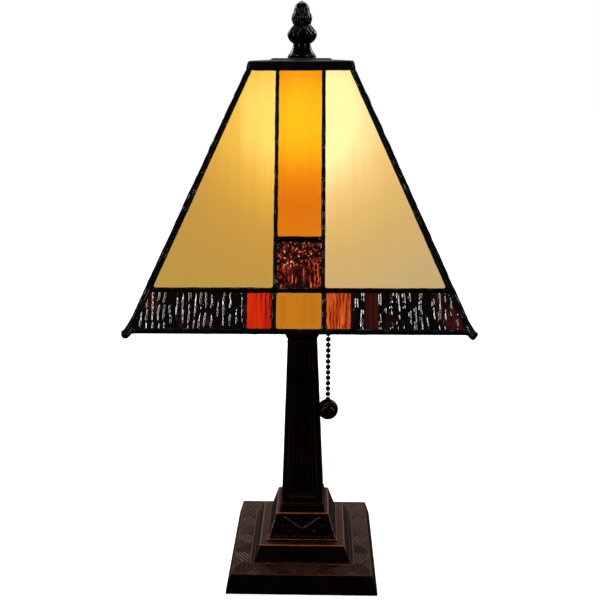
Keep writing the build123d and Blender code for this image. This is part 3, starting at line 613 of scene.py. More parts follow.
def wavered(shader, value, *waves):
    """A glow value moved about by (noise, amount) pairs."""
    for wave, amount in waves:
        swing = shader.math("MULTIPLY", shader.math("SUBTRACT", wave, 0.5), amount)
        value = shader.math("ADD", value, swing)
    return value


def cream_glass():
    shader = Shader("cream_glass", specular_ior_level=0.16)
    streak = streaks(shader)
    away = wavered(shader, glow(shader), (streak, -0.1), (shader.sheet_noise(45 * MM, 2, 0.5), -0.12))
    rich = shader.ramp(
        away, (0.07, (253, 221, 104)), (0.14, (252, 207, 90)), (0.225, (240, 184, 70)),
        (0.34, (221, 167, 64)), (0.46, (207, 156, 64)), (0.65, (196, 148, 64)), (1.0, (185, 147, 68)),
    )
    pale = shader.ramp(
        away, (0.07, (253, 253, 172)), (0.14, (253, 246, 168)), (0.19, (253, 229, 154)),
        (0.3, (245, 204, 127)), (0.46, (227, 186, 108)), (0.65, (212, 174, 106)), (1.0, (197, 169, 115)),
    )
    lit_glass(shader, shader.mix(shader.mark("tone"), rich, pale), 0.97)
    shader.set(roughness=shader.blend(streak, 0.28, 0.4))
    shader.bump(shader.sheet_noise(14 * MM), 0.5 * MM, 0.35)
    return shader.material


def amber_glass():
    shader = Shader("amber_glass", roughness=0.3, specular_ior_level=0.16)
    away = wavered(shader, glow(shader), (streaks(shader, 4 * MM), -0.06))
    colour = shader.ramp(
        away, (0.0, (252, 196, 24)), (0.06, (252, 178, 18)), (0.1, (251, 162, 15)),
        (0.15, (243, 140, 12)), (0.225, (229, 123, 10)), (0.31, (220, 113, 10)), (0.5, (219, 119, 12)),
    )
    lit_glass(shader, colour, 0.98)
    shader.bump(shader.sheet_noise(12 * MM), 0.5 * MM, 0.3)
    return shader.material


def tan_glass():
    shader = Shader("tan_glass", roughness=0.35, specular_ior_level=0.16)
    streak = shader.levels(streaks(shader, 3 * MM), 0.3, 0.7)
    lit_glass(shader, shader.tint(streak, (190, 112, 19), (199, 120, 23)), 0.95)
    shader.bump(shader.sheet_noise(8 * MM, 2), 0.4 * MM, 0.3)
    return shader.material


def accent_glass():
    """Red on the left of a side and streaky orange on the right, darker where the ripples are thick."""
    shader = Shader("accent_glass", roughness=0.16, specular_ior_level=0.3)
    streak = streaks(shader, 2.6 * MM, 0.1)
    tone = shader.mark("tone")
    red = shader.ramp(streak, (0.25, (170, 26, 7)), (0.5, (204, 40, 9)), (0.8, (226, 58, 14)))
    orange = shader.ramp(
        streak, (0.3, (156, 44, 10)), (0.45, (192, 72, 20)), (0.6, (222, 106, 40)), (0.8, (242, 158, 74))
    )
    dark = shader.tint(tone, (84, 10, 4), (92, 20, 7))
    thick = shader.levels(shader.mark("ripple"), 0.2, 0.75)
    lit_glass(shader, shader.mix(thick, shader.mix(tone, red, orange), dark), 0.95)
    return shader.material


def ripple_glass():
    """Near-black rippled glass: the bulb shows red through its thin veins and stained patches."""
    shader = Shader("ripple_glass", specular_ior_level=0.7)
    patch = shader.sheet_noise(8 * MM, drawn=0.4)
    thin = shader.math("MULTIPLY", shader.mark("tone"), shader.math("SUBTRACT", 1.0, shader.mark("ripple")))
    thin = shader.math("MULTIPLY", thin, shader.levels(patch, 0.1, 0.5))
    ember = shader.ramp(
        thin, (0.0, (5, 1, 1)), (0.2, (46, 8, 5)), (0.45, (134, 38, 13)),
        (0.7, (206, 76, 24)), (1.0, (246, 150, 84)),
    )
    stained = shader.math("MULTIPLY", shader.mark("stain"), shader.levels(patch, 0.3, 0.55), clamp=True)
    stain = shader.mix(stained, (0, 0, 0), linear((58, 15, 7)))
    both = shader.mix(1.0, ember, stain, blend_type="ADD")
    shader.set(base_color=linear((5, 3, 3)), emission_color=both, emission_strength=0.95)
    shader.set(roughness=shader.blend(patch, 0.05, 0.12))
    return shader.material


# ---------------- metal and other materials ----------------

def metal(name, dark, light, rough, size=6 * MM, metallic=1.0, grain=0.08 * MM, **surface):
    """A plain metal with clouded colour, uneven gloss and a fine surface."""
    shader = Shader(name, metallic=metallic, **surface)
    cloud = shader.noise(size, detail=5)
    shader.set(base_color=shader.tint(shader.levels(cloud, 0.3, 0.7), dark, light))
    shader.set(roughness=shader.blend(cloud, *rough))
    shader.bump(shader.noise(size / 9, detail=4), grain, 0.5)
    return shader.material


def worn_metal(name, dark, light, upper, bright, rough, worn):
    """Patinated casting: dark walls, painted light on the faces that look up, raised lines lightened partly by
    wear and partly as painted highlight, and rubbed bright along its edges.
    """
    shader = Shader(name, metallic=0.8, specular_ior_level=0.2)
    cloud = shader.levels(shader.noise(9 * MM, detail=5), 0.32, 0.68)
    scuff_and_glint = shader.levels(shader.noise(2.2 * MM, detail=4), 0.2, 0.5)
    facing = shader.node("ShaderNodeNewGeometry").outputs["Normal"]
    # Faces that look up get the upper colour as painted light falling from above.
    up = shader.levels(shader.node("ShaderNodeSeparateXYZ", {0: facing}).outputs[2], 0.6, 0.95)
    wall = shader.tint(cloud, dark, light)
    patina_with_top_light = shader.mix(up, wall, shader.mix(cloud, [0.6 * c for c in linear(upper)], linear(upper)))
    # Raised relief lines are lightened: partly rubbed wear, partly painted highlight.
    lines = shader.math("MULTIPLY", shader.mark("lines"), scuff_and_glint)
    patina_with_top_light = shader.mix(shader.math("MULTIPLY", lines, 0.55), patina_with_top_light, linear((86, 68, 56)))
    hollow = shader.levels(shader.math("MULTIPLY", shader.mark("wear"), -1.0), 0.05, 0.7)
    patina_with_top_light = shader.mix(shader.math("MULTIPLY", hollow, 0.75), patina_with_top_light, linear((5, 3, 2)))
    wear = shader.math("MULTIPLY", shader.mark("wear"), scuff_and_glint)
    # The bright rub stands for wear, and on the base's upper tiers also for painted light from the bulb.
    rub_and_light = shader.math("MULTIPLY", shader.levels(wear, 0.2, 0.8), worn)
    shader.set(base_color=shader.mix(rub_and_light, patina_with_top_light, linear(bright)), roughness=shader.blend(rub_and_light, *rough))
    shader.bump(shader.noise(1.1 * MM, detail=4), 0.09 * MM, 0.5)
    return shader.material


def patinated_solder():
    """Blackened solder: dull black skin with polished flecks that catch the light."""
    shader = Shader("black_solder")
    cloud = shader.levels(shader.noise(7 * MM, detail=4), 0.35, 0.7)
    lumps = shader.noise(2.0 * MM)
    fleck = shader.levels(shader.noise(5 * MM), 0.52, 0.68)
    tint = shader.tint(cloud, (4, 4, 4), (9, 9, 10))
    shader.set(base_color=shader.mix(shader.levels(lumps, 0.64, 0.82), tint, linear((26, 23, 22))))
    shader.set(specular_ior_level=shader.blend(fleck, 0.04, 0.42), roughness=shader.blend(fleck, 0.3, 0.12))
    shader.bump(lumps, 0.2 * MM, 0.3)
    return shader.material


def frosted_bulb():
    """A lit frosted lamp: brightest in the middle of the envelope and warmer at the neck."""
    shader = Shader("bulb_glass", roughness=0.35, coat_weight=0.4, coat_roughness=0.1)
    low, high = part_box("bulb_glass")
    height = shader.node("ShaderNodeSeparateXYZ", {0: shader.where}).outputs[2]
    belly = shader.levels(height, low.z, high.z - (high.x - low.x) / 2)
    frost = shader.noise(3 * MM, detail=4)
    colour = shader.tint(belly, (255, 190, 110), (255, 236, 200))
    power = shader.math("ADD", 3.0, shader.math("MULTIPLY", belly, 9.0))
    power = shader.math("MULTIPLY", power, shader.blend(frost, 0.92, 1.08))
    shader.set(base_color=linear((236, 228, 212)), emission_color=colour, emission_strength=power)
    shader.bump(frost, 0.05 * MM, 0.4)
    return shader.material


def moulded(name, dark, light, rough, grain=0.05 * MM):
    """Rubber, flex or phenolic: clouded colour, uneven sheen and a fine moulded grain."""
    shader = Shader(name)
    cloud = shader.noise(5 * MM, detail=4)
    shader.set(base_color=shader.tint(cloud, dark, light), roughness=shader.blend(cloud, *rough))
    shader.bump(shader.noise(0.7 * MM), grain, 0.6)
    return shader.material


def felt():
    """Pressed felt: short tangled fibres with a soft sheen."""
    shader = Shader("felt", roughness=0.95, sheen_weight=0.5, specular_ior_level=0.1)
    fibres = shader.noise(0.35 * MM, detail=5, stretch=(1, 0.35, 1))
    both = shader.math("ADD", fibres, shader.noise(0.5 * MM, detail=5, stretch=(0.3, 1, 1)))
    shader.set(base_color=shader.tint(shader.levels(both, 0.7, 1.3), (14, 15, 14), (46, 48, 45)))
    shader.bump(both, 0.3 * MM, 0.8)
    return shader.material


def fibre_paper():
    shader = Shader("paper", roughness=0.85)
    fibres = shader.noise(1.2 * MM, detail=5, stretch=(1, 1, 0.3))
    shader.set(base_color=shader.tint(fibres, (150, 120, 82), (206, 178, 132)))
    shader.bump(fibres, 0.1 * MM, 0.6)
    return shader.material


# ---------------- panes ----------------

def add_sheet(shape, corners, normal, thickness, step, relief, layer, tone):
    """One closed pane: a displaced outer face, a plain inner face and four edges."""
    across, slope = sheet_axes(normal)
    low_left, low_right, high_right, high_left = corners
    width = max(np.linalg.norm(low_right - low_left), np.linalg.norm(high_right - high_left))
    cols = ceil(width / step)
    rows = ceil(np.linalg.norm(high_left - low_left) / step)
    s = np.linspace(0, 1, cols + 1)[None, :, None]
    t = np.linspace(0, 1, rows + 1)[:, None, None]
    face = (low_left * (1 - s) + low_right * s) * (1 - t) + (high_left * (1 - s) + high_right * s) * t
    u, v = face @ across, face @ slope
    height, ripple, stain = relief(u, v, layer)
    front = face + height[..., None] * normal
    inner = face - thickness * normal
    marks = {"sheet_n": float(layer), "tone": tone}
    shape.grid(front, sheet_u=u, sheet_v=v, ripple=ripple, stain=stain, **marks)
    shape.grid(inner[:, ::-1], sheet_u=u[:, ::-1], sheet_v=v[:, ::-1], ripple=ripple[:, ::-1], **marks)
    for edge in (np.s_[0], np.s_[:, -1], np.s_[-1, ::-1], np.s_[::-1, 0]):
        shape.grid(np.stack([inner[edge], front[edge]]), ripple=1.0, **marks)


def folds(u, v, layer, pitch, sway=1.0):
    """Upright ridges that wander and break into beads: (height from 0 to 1, closeness to a ridge)."""
    wander = 0.34 * sheet_noise(u, v, 3.7 * layer, 9 * MM, 14 * MM, 21)
    wander += 0.16 * sheet_noise(u, v, 3.7 * layer, 3.5 * MM, 3.5 * MM, 22)
    aside = ((u / pitch + sway * wander) % 1 - 0.5) * pitch
    crest = ridge(aside, 0.2 * pitch)
    runs = smooth_step(sheet_noise(u, v, 3.7 * layer, 2.6 * MM, 4.6 * MM, 23), -0.6, 0.1)
    beads = smooth_step(sheet_noise(u, v, 3.7 * layer, 2.0 * MM, 1.5 * MM, 25), -0.4, 0.2)
    return crest * runs * (0.72 + 0.28 * beads), crest


# Each relief gives the height of a pane's outer face, how thick its ripples are and how stained it is.

def smooth_relief(u, v, layer):
    """Rolled art glass: almost flat, with a slow wave."""
    return 0.18 * MM * sheet_noise(u, v, layer, 30 * MM, 70 * MM, 11), np.zeros_like(u), 0.0


def ripple_relief(u, v, layer):
    """Dark rippled glass with broken folds and a few stained spots between them."""
    height, crest = folds(u, v, layer, RIPPLE_PITCH)
    spots = 0.9 * smooth_step(sheet_noise(u, v, layer, 5 * MM, 10 * MM, 29), 0.28, 0.55)
    return RIPPLE_DEPTH * height, crest, spots * (1 - 0.7 * crest)


def stained_relief(u, v, layer):
    """The same glass with one smooth, red-stained stripe near the accent pane and another at the hip."""
    height, crest, spots = ripple_relief(u, v, layer)
    inset = u - u.min(axis=1, keepdims=True)
    stripe = window(inset, STRIPE_STARTS, STRIPE_ENDS)
    reach = inset / np.ptp(u, axis=1)[:, None]
    stain = np.maximum(stripe, smooth_step(reach, 0.78, 0.9)) + 0.4 * spots
    return height * (1 - 0.8 * stripe), crest, stain * (1 - 0.5 * crest)


def accent_relief(u, v, layer):
    """Smooth glass whose ripples gather towards its upper right corner."""
    height, _ = folds(u, v, layer, 2.6 * MM, sway=1.6)
    corner = (u - u.min()) / np.ptp(u) + 0.5 * (v - v.min()) / np.ptp(v)
    share = smooth_step(corner, 0.6, 1.1)
    return 0.5 * RIPPLE_DEPTH * height * share, height * share, 0.0


def lively_relief(u, v, layer):
    """Closely rippled glass all over."""
    height, _ = folds(u, v, layer, 2.1 * MM, sway=2.6)
    return 0.4 * RIPPLE_DEPTH * height, height, 0.0


def vein_relief(u, v, layer):
    """Dark grained glass: a fine web and bright dots above, upright veins below and along its sides."""
    height, crest = folds(u, v, layer, 2.3 * MM, sway=1.8)
    rise = (v - v.min()) / np.ptp(v)
    side = np.abs(u - u.mean()) / np.ptp(u) * 2
    web = smooth_step(sheet_noise(u, v, layer, 0.9 * MM, 1.2 * MM, 27), 0.0, 0.6) * (0.2 + 0.32 * side)
    dots = smooth_step(sheet_noise(u, v, layer, 0.8 * MM, 0.8 * MM, 26), 0.5, 0.72)
    dots *= smooth_step(rise, 0.1, 0.6)
    gap = smooth_step(sheet_noise(u, v, layer, 2.6 * MM, 5 * MM, 28), -0.3, 0.4)
    vein = crest**1.2 * gap * (1 - smooth_step(rise - 0.35 * side, 0.2, 0.55))
    thin = np.maximum(np.maximum(web, 0.95 * dots), vein) + 0.05
    return 0.5 * RIPPLE_DEPTH * height + 0.16 * MM * dots, 1 - np.clip(thin, 0, 1), 0.0


def pack_sheet(mesh):
    """Packs a pane's own coordinates into one vector for its material."""
    packed = np.zeros((len(mesh.vertices), 3), np.float32)
    for column, name in enumerate(("sheet_u", "sheet_v", "sheet_n")):
        values = np.zeros(len(packed), np.float32)
        mesh.attributes[name].data.foreach_get("value", values)
        packed[:, column] = values
        mesh.attributes.remove(mesh.attributes[name])
    mesh.attributes.new("sheet", "FLOAT_VECTOR", "POINT").data.foreach_set("vector", packed.ravel())


def make_panes():
    """Every pane of the shade, in place of its plain CAD solid; each reads its own layer of the noise."""
    dark = ripple_glass()
    panes = {
        "cream_panes": ("cream_glass", cream_glass(), SHEET_STEP, (smooth_relief, smooth_relief), None),
        "amber_strip": ("amber_glass", amber_glass(), SHEET_STEP, (smooth_relief,), (0.0,)),
        "centre_pane": ("tan_glass", tan_glass(), SHEET_STEP, (smooth_relief,), (0.0,)),
        "ripple_square": ("ripple_glass", dark, RIPPLE_STEP, (vein_relief,), (1.0,)),
        "border_panes": ("ripple_glass", dark, RIPPLE_STEP, (ripple_relief, stained_relief), (0.0, 0.0)),
        "accent_panes": ("accent_glass", accent_glass(), RIPPLE_STEP, (accent_relief, lively_relief), (0.0, 1.0)),
    }
    for order, side in enumerate(SIDES):
        for kind, (slot, material, step, reliefs, tones) in panes.items():
            node = f"{side}_{kind}"
            shape = Shape()
            for i, sheet in enumerate(pane_sheets(node)):
                tone = (tones or CREAM_TONES[side])[i]
                add_sheet(shape, *sheet, step, reliefs[i], 10 * order + 3 * i + len(kind), tone)
            mesh = shape.mesh(node, sharp=60)
            pack_sheet(mesh)
            place(f"{node}_glass", mesh, "shade", slot, material, [node])


# ---------------- solder lines and corner tubes ----------------

def side_frame(side):
    """Origin on the axis at rim height, across, slope, outward normal and thickness of one side's glass."""
    corners, normal, thickness = pane_sheets(f"{side}_amber_strip")[0]
    rim = np.array((0.0, 0.0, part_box("rim_band")[1].z))
    origin = rim + normal * ((corners[0] - rim) @ normal)
    return origin, *sheet_axes(normal), normal, thickness


def side_lines(side):
    """The solder lines of one side as (start, end, half width), in (across, slope) coordinates."""
    origin, across, slope, _, _ = side_frame(side)

    def extent(kind):
        corners = pane_sheets(f"{side}_{kind}")[-1][0] - origin
        return corners @ across, corners @ slope

    def between(low, high):
        return (low + high) / 2, (high - low) / 2 + SOLDER_LAP

    cream_u, cream_v = extent("cream_panes")
    strip_u, strip_v = extent("amber_strip")
    _, square_v = extent("ripple_square")
    dark_u, dark_v = extent("border_panes")
    accent_u, _ = extent("accent_panes")
    centre_u, _ = extent("centre_pane")
    rim_v = dark_v.min() - RIM_BELOW_GLASS
    top_v = cream_v.max() + 0.2 * MM
    row_v, row_half = between(dark_v.max(), cream_v.min())
    step_v, step_half = between(square_v.max(), strip_v.min())
    stile_u, stile_half = between(strip_u.max(), cream_u.min())
    lean = (cream_u[1] - cream_u[2]) / (cream_v[2] - cream_v[1])

    def hip(v):
        return cream_u[1] - lean * (v - cream_v[1]) + HIP_LINE_OUT

    step_u = stile_u - 0.8 * MM
    lines = [
        ((-hip(rim_v), rim_v), (hip(rim_v), rim_v), RIM_LINE_HALF),
        ((-hip(row_v), row_v), (hip(row_v), row_v), row_half),
        ((-step_u, step_v), (step_u, step_v), step_half),
        ((-hip(top_v), top_v), (hip(top_v), top_v), TOP_LINE_HALF),
    ]
    uprights = [((stile_u, row_v), (stile_u, top_v), stile_half)]
    for u, half in (between(centre_u.max(), accent_u.min()), between(accent_u.max(), dark_u.min())):
        uprights.append(((u, rim_v), (u, row_v), half))
    uprights.append(((hip(rim_v), rim_v), (hip(top_v), top_v), HIP_LINE_HALF))
    for mirror in (-1, 1):
        lines += [((mirror * u, v), (mirror * top_u, top), half) for (u, v), (top_u, top), half in uprights]
    return lines


def solder_bar(shape, start, end, normal, half_width, thickness, seed):
    """One run of solder: a rounded bar through the gap whose width and height wander."""
    path = resampled([start, end], 2.0 * MM)
    spots = path + 0.013 * seed
    width = half_width * (1 + 0.1 * noise(spots, 9 * MM, seed))
    proud = SOLDER_PROUD * (1 + 0.22 * noise(spots, 7 * MM, seed + 1))
    size = np.stack([width, thickness / 2 + proud], axis=-1)
    size[[0, -1]] *= 0.55
    aside = unit(np.cross(normal, end - start))
    points = swept(path - normal * thickness / 2, ring(14, power=0.75) * size[:, None], side=aside)
    shape.grid(points, close_cols=True, caps=True)


def solder_blob(shape, centre, normal, radius, tall):
    """A drop of solder where two lines meet."""
    axes = np.array([*sheet_axes(normal), normal]) * np.array([radius, radius, tall])[:, None]
    shape.grid(centre + turned(ball_profile(1.0, 0.0, 9), 14) @ axes, close_cols=True)


def fused(shape):
    """Melts overlapping closed shapes into one skin."""
    rough = bpy.data.objects.new("rough_solder", shape.mesh("rough_solder"))
    bpy.context.collection.objects.link(rough)
    remesh = rough.modifiers.new("melt", "REMESH")
    remesh.mode = "VOXEL"
    remesh.voxel_size = SOLDER_VOXEL
    calm = rough.modifiers.new("calm", "SMOOTH")
    calm.factor = 0.5
    calm.iterations = SOLDER_SMOOTHING
    graph = bpy.context.evaluated_depsgraph_get()
    mesh = bpy.data.meshes.new_from_object(rough.evaluated_get(graph))
    bpy.data.objects.remove(rough)
    return mesh


def roughened(mesh, amplitude, size, seed):
    """Moves a mesh's points along their normals by wandering lumps."""
    points, normals = np.zeros((2, len(mesh.vertices), 3), np.float32)
    mesh.vertices.foreach_get("co", points.ravel())
    mesh.vertices.foreach_get("normal", normals.ravel())
    lift = amplitude * (noise(points, size, seed) + 0.5 * noise(points, size / 2.3, seed + 1))
    mesh.vertices.foreach_set("co", (points + normals * lift[:, None]).astype(np.float32).ravel())
    mesh.shade_smooth()
    mesh.update()


def make_solder(material):
    """The solder network of all four sides, as one fused skin with drops at the ends of its long runs."""
    shape = Shape()
    for order, side in enumerate(SIDES):
        origin, across, slope, normal, thickness = side_frame(side)
        for i, (start, end, half) in enumerate(side_lines(side)):
            ends = [origin + across * u + slope * v for u, v in (start, end)]
            solder_bar(shape, *ends, normal, half, thickness, 100 * order + 5 * i)
            if i in HIP_TO_HIP_LINES:
                for spot in ends:
                    centre = spot - normal * thickness / 2
                    solder_blob(shape, centre, normal, 1.2 * half, thickness / 2 + SOLDER_PROUD)
    mesh = fused(shape)
    roughened(mesh, 0.1 * MM, 3.2 * MM, 71)
    place("solder_lines", mesh, "shade", "black_solder", material, ["solder_lattice"])


def hip_axes():
    """Lower end and upper end of the four corner tubes, drawn in a little towards the glass."""
    points = node_points("hip_tubes")
    for corner in ((1, -1), (1, 1), (-1, 1), (-1, -1)):
        own = points[(np.sign(points[:, :2]) == corner).all(axis=1)]
        height = own[:, 2]
        low = own[height < height.min() + 6 * MM].mean(0)
        high = own[height > height.max() - 6 * MM].mean(0)
        inward = np.array((-corner[0], -corner[1], 0.0))
        yield low + unit(high - low) * TUBE_SHORT + inward * TUBE_DRAWN[0], high + inward * TUBE_DRAWN[1]


def make_hip_tubes(material, bore_material):
    """Corner tubes: copper pipes flooded with lumpy solder, swelling towards their open lower ends."""
    shape, bores = Shape(), Shape()
    circle = ring(28)

    def skin(path, radius):
        return swept(path, circle * np.reshape(radius, (len(path), -1, 1)))

    for number, (low, high) in enumerate(hip_axes()):
        out = np.sign(low) * (1, 1, 0)
        mouth = low + out * TUBE_BEND
        knee = low + unit(high - low) * 1.2 * MM
        bend = rounded([mouth, knee, knee + (high - low) * 0.03], 4 * MM, 8)
        path = resampled([*bend, high], 0.7 * MM)
        climbed = np.linalg.norm(path - mouth, axis=1)
        radius = TUBE_R + TUBE_SWELL * ridge(climbed, TUBE_SWELL_REACH)
        plain = skin(path, radius)
        lumps = noise(plain, 5.5 * MM, 80 + number) + 0.6 * noise(plain, 2.4 * MM, 90 + number)
        outer = skin(path, radius[:, None] + 0.22 * MM * lumps)
        bore = radius - TUBE_WALL
        shape.grid(np.concatenate([skin(path, bore)[::-1], outer]), close_rows=True, close_cols=True)
        lined = climbed < TUBE_LINED
        inside, outside = (skin(path[lined], bore[lined] + shift) for shift in LINER_SHIFTS)
        bores.grid(np.concatenate([inside[::-1], outside]), close_rows=True, close_cols=True)
        if number % 2:
            solder_blob(shape, mouth, unit(out), 0.9 * radius[0], 1.4 * MM)
    place("corner_tubes", shape, "shade", "black_solder", material, ["hip_tubes"])
    place("corner_tube_bores", bores, "shade", "brass", bore_material)


# ---------------- castings ----------------

def zigzag(across, into_band, width):
    """Nested zigzag lines along a band."""
    wave = 2 * np.abs(2 * ((across / ZIGZAG_PERIOD) % 1) - 1) - 1
    offset = into_band - width / 2 - wave * ZIGZAG_HEIGHT / 2
    return sum(ridge(offset - line, 1.2 * LINE_WIDTH) for line in ZIGZAG_LINES)


def band_lines(across, reach, band_in, band_out):
    """The plate's band: zigzags inside a frame line, parted by a line along each mitre."""
    into = reach - band_in
    from_mitre = reach - np.abs(across)
    inside = smooth_step(into, BAND_FRAME + 0.6 * MM, BAND_FRAME + 1.2 * MM)
    inside *= smooth_step(band_out - reach, 1.0 * MM, 1.6 * MM)
    inside *= smooth_step(from_mitre, 1.6 * MM, 2.2 * MM)
    lines = zigzag(across, into, band_out - band_in) * inside
    return lines + ridge(into - BAND_FRAME, LINE_WIDTH) + 0.8 * ridge(from_mitre, LINE_WIDTH)


def face_marks(across, rise, reach):
    """Strokes, studs and a row of dashes on a face of the top tier."""
    x = np.abs(across)
    marks = ridge(segment_distance(x, rise, STROKE_FOOT, STROKE_TIP), LINE_WIDTH)
    for stud_x, stud_rise in STUDS:
        marks += 0.9 * ridge(np.hypot(x - stud_x, rise - stud_rise), 0.8 * MM)
    dash = smooth_step(np.abs(((x / DASH_PITCH) % 1) - 0.5), 0.16, 0.22)
    return marks + 0.9 * dash * ridge(rise - DASH_HEIGHT, 0.5 * MM) * (x < reach - 2.5 * MM)


def base_relief(band_z, band_in, band_out, face_low, face_high):
    """Relief of the base: the band round the plate and the marks on the top tier."""
    def relief(side, across, reach, height):
        on_band = np.abs(height - band_z) < 0.05 * MM
        lift = LINE_HEIGHT * on_band * np.clip(band_lines(across, reach, band_in, band_out), 0, 1.2)
        share = (height - face_low) / (face_high - face_low)
        on_face = smooth_step(share, 0.04, 0.07) * smooth_step(1 - share, 0.04, 0.07)
        lift += LINE_HEIGHT * on_face * face_marks(across, height - face_low, reach)
        return lift + cast_grain(side, across, reach, height, 0.05 * MM, 4 * MM, 31)
    return relief


def make_base(material):
    """Three-tier shell, hollow underneath, with a hole for the rod."""
    outer = outer_profile("base_casting", square=True)
    (plate_reach, bottom), (_, face_low), (_, top_z) = outer[0], outer[-2], outer[-1]
    inner = [(reach - CAST_WALL[0], max(height - CAST_WALL[1], bottom)) for reach, height in outer[::-1]]
    outer.append((ROD_HOLE, top_z))
    inner.insert(0, (ROD_HOLE, inner[0][1]))
    rows = resampled(rounded(outer, 0.55 * MM), CAST_STEP)
    band_z = sorted({height for _, height in outer})[2]
    band = [reach for reach, height in outer if height == band_z]
    per_side = int(2 * plate_reach / CAST_STEP)
    relief = base_relief(band_z, min(band), max(band), face_low, top_z)
    plain = square_surface(rows, CAST_CORNER, per_side)
    skin = square_surface(rows, CAST_CORNER, per_side, relief)
    hollow = square_surface(inner, CAST_CORNER, per_side)
    bare = np.zeros(hollow.shape[:2])
    # Edges rub brighter towards the top tier: partly wear, partly painted light from the bulb falling on the
    # upper tiers.
    rubbed_and_lit_share = 0.35 + 0.65 * smooth_step(plain[..., 2], band_z, top_z - 0.4 * (top_z - band_z))
    wear = rubbed(edge_wear(plain) * rubbed_and_lit_share, edge_wear(skin))
    raised = np.sum((skin - plain) * grid_normals(plain), axis=-1) / LINE_HEIGHT
    marks = {"wear": wear, "lines": smooth_step(raised, 0.3, 0.9)}
    marks = {name: np.concatenate([value, bare]) for name, value in marks.items()}
    shape = ring_shape(np.concatenate([skin, hollow]), **marks)
    place("base_shell", shape, "stand", "bronze_casting", material, ["base_casting"], sharp=80)


def column_relief(shaft_low, shaft_high, half_low, half_high):
    """Relief of the column: sunk panels in a frame, blades low down and a drop with a curl above."""
    tall = shaft_high - shaft_low
    low_z, high_z = (shaft_low + end * tall for end in PANEL_ENDS)

    def ornament(across, height):
        lift = np.zeros_like(across)
        for x, foot, tip, lean in COLUMN_BLADES:
            start = (x * MM, low_z + foot * MM)
            end = (start[0] + lean * MM, low_z + tip * MM)
            lift += 0.22 * MM * ridge(segment_distance(across, height, start, end), 0.45 * MM)
        drop = np.hypot(across, (height - high_z + 9 * MM) / 2.4)
        curl = np.abs(np.hypot(across + 1.6 * MM, height - high_z + 7 * MM) - 1.5 * MM)
        return lift + 0.5 * MM * ridge(drop, 1.1 * MM) + 0.2 * MM * ridge(curl, 0.35 * MM)

    def relief(side, across, reach, height):
        share = (height - shaft_low) / tall
        panel_half = PANEL_SHARE * (half_low + (half_high - half_low) * np.clip(share, 0, 1))
        gap = np.minimum(panel_half - np.abs(across), np.minimum(height - low_z, high_z - height))
        lift = -PANEL_SINK * smooth_step(gap, -0.35 * MM, 0.35 * MM)
        lift += 0.4 * MM * ridge(gap - 1.7 * MM, 0.4 * MM)
        lift += 0.35 * MM * ridge(gap + 1.5 * MM, 0.35 * MM) * (share > 0) * (share < 1)
        lift += ornament(across, height) * smooth_step(gap, 2.2 * MM, 2.8 * MM)
        for ring_share in (-0.012, 0.985):
            lift += 0.35 * MM * ridge(share - ring_share, 0.004)
        return lift + cast_grain(side, across, reach, height, 0.04 * MM, 5 * MM, 33)
    return relief


def make_column(material):
    outer = outer_profile("column", square=True)
    longest = max(zip(outer[:-1], outer[1:]), key=lambda pair: pair[1][1] - pair[0][1])
    (half_low, shaft_low), (half_high, shaft_high) = longest
    per_side = int(2 * half_low / COLUMN_STEP)
    rows = resampled(rounded(outer, 0.5 * MM), CAST_STEP)
    relief = column_relief(shaft_low, shaft_high, half_low, half_high)
    skin = square_surface(rows, COLUMN_CORNER, per_side, relief)
    core = [(COLUMN_BORE, outer[-1][1]), (COLUMN_BORE, outer[0][1])]
    core = square_surface(core, COLUMN_CORNER, per_side)
    wear = np.concatenate([edge_wear(skin), np.zeros(core.shape[:2])])
    shape = ring_shape(np.concatenate([skin, core]), wear=wear)
    place("column_shell", shape, "stand", "bronze_casting", material, ["column"], sharp=80)


def petals(angle, share, count, low, high, phase, lean=0.0):
    """A row of pointed leaves round a turned body: 0 between them, 1 on their raised ribs."""
    rise = (share - low) / (high - low)
    turn = angle + phase + lean * rise
    aside = np.abs(((turn * count / (2 * pi)) % 1) - 0.5) * 2
    width = np.sqrt(np.clip(1 - rise, 0, 1)) * 0.98
    inside = smooth_step(width - aside, 0, 0.16) * (rise > 0) * (rise < 1)
    return inside * (0.55 + 0.45 * (1 - aside / np.maximum(width, 0.05)))


def finial_relief(low, high):
    """Relief of the finial: overlapping leaves on the bulb, a ring of scales and a fluted bud."""
    def relief(angle, height):
        share = (height - low) / (high - low)
        leaves = petals(angle, share, 5, 0.27, 0.56, 0.3, 0.5)
        leaves = np.maximum(leaves, 0.8 * petals(angle, share, 5, 0.33, 0.61, 0.93, -0.35))
        scales = petals(angle, share, 8, 0.6, 0.73, 0.0)
        scales = np.maximum(scales, petals(angle, share, 8, 0.66, 0.8, pi / 8))
        bud = smooth_step(share, 0.74, 0.8)
        flutes = (0.5 + 0.5 * np.cos(8 * angle)) ** 1.5 * window(share, (0.74, 0.8), (0.93, 1))
        lift = 0.9 * (leaves - 0.45) * window(share, (0.26, 0.31), (0.57, 0.61))
        lift += 0.9 * (scales - 0.6) * window(share, (0.59, 0.63), (0.76, 0.8))
        lift += 0.65 * window(share, (0.76, 0.9), (0.93, 1.0)) + 0.5 * (flutes - 0.6) * bud
        return lift * MM
    return relief


def make_finial(material):
    outer = outer_profile("finial")
    low, high = outer[0][1], outer[-1][1]
    skin = turned(resampled(outer, 0.22 * MM), 150, finial_relief(low, high))
    bore_top = low + FINIAL_BORE_DEPTH
    bore = turned([(0, bore_top), (FINIAL_BORE, bore_top), (FINIAL_BORE, low)], 150)
    shape = Shape()
    wear = np.concatenate([np.zeros(bore.shape[:2]), edge_wear(skin)])
    shape.grid(np.concatenate([bore, skin]), close_cols=True, wear=wear)
    place("finial_casting", shape, "finial", "black_bronze", material, ["finial"], sharp=80)


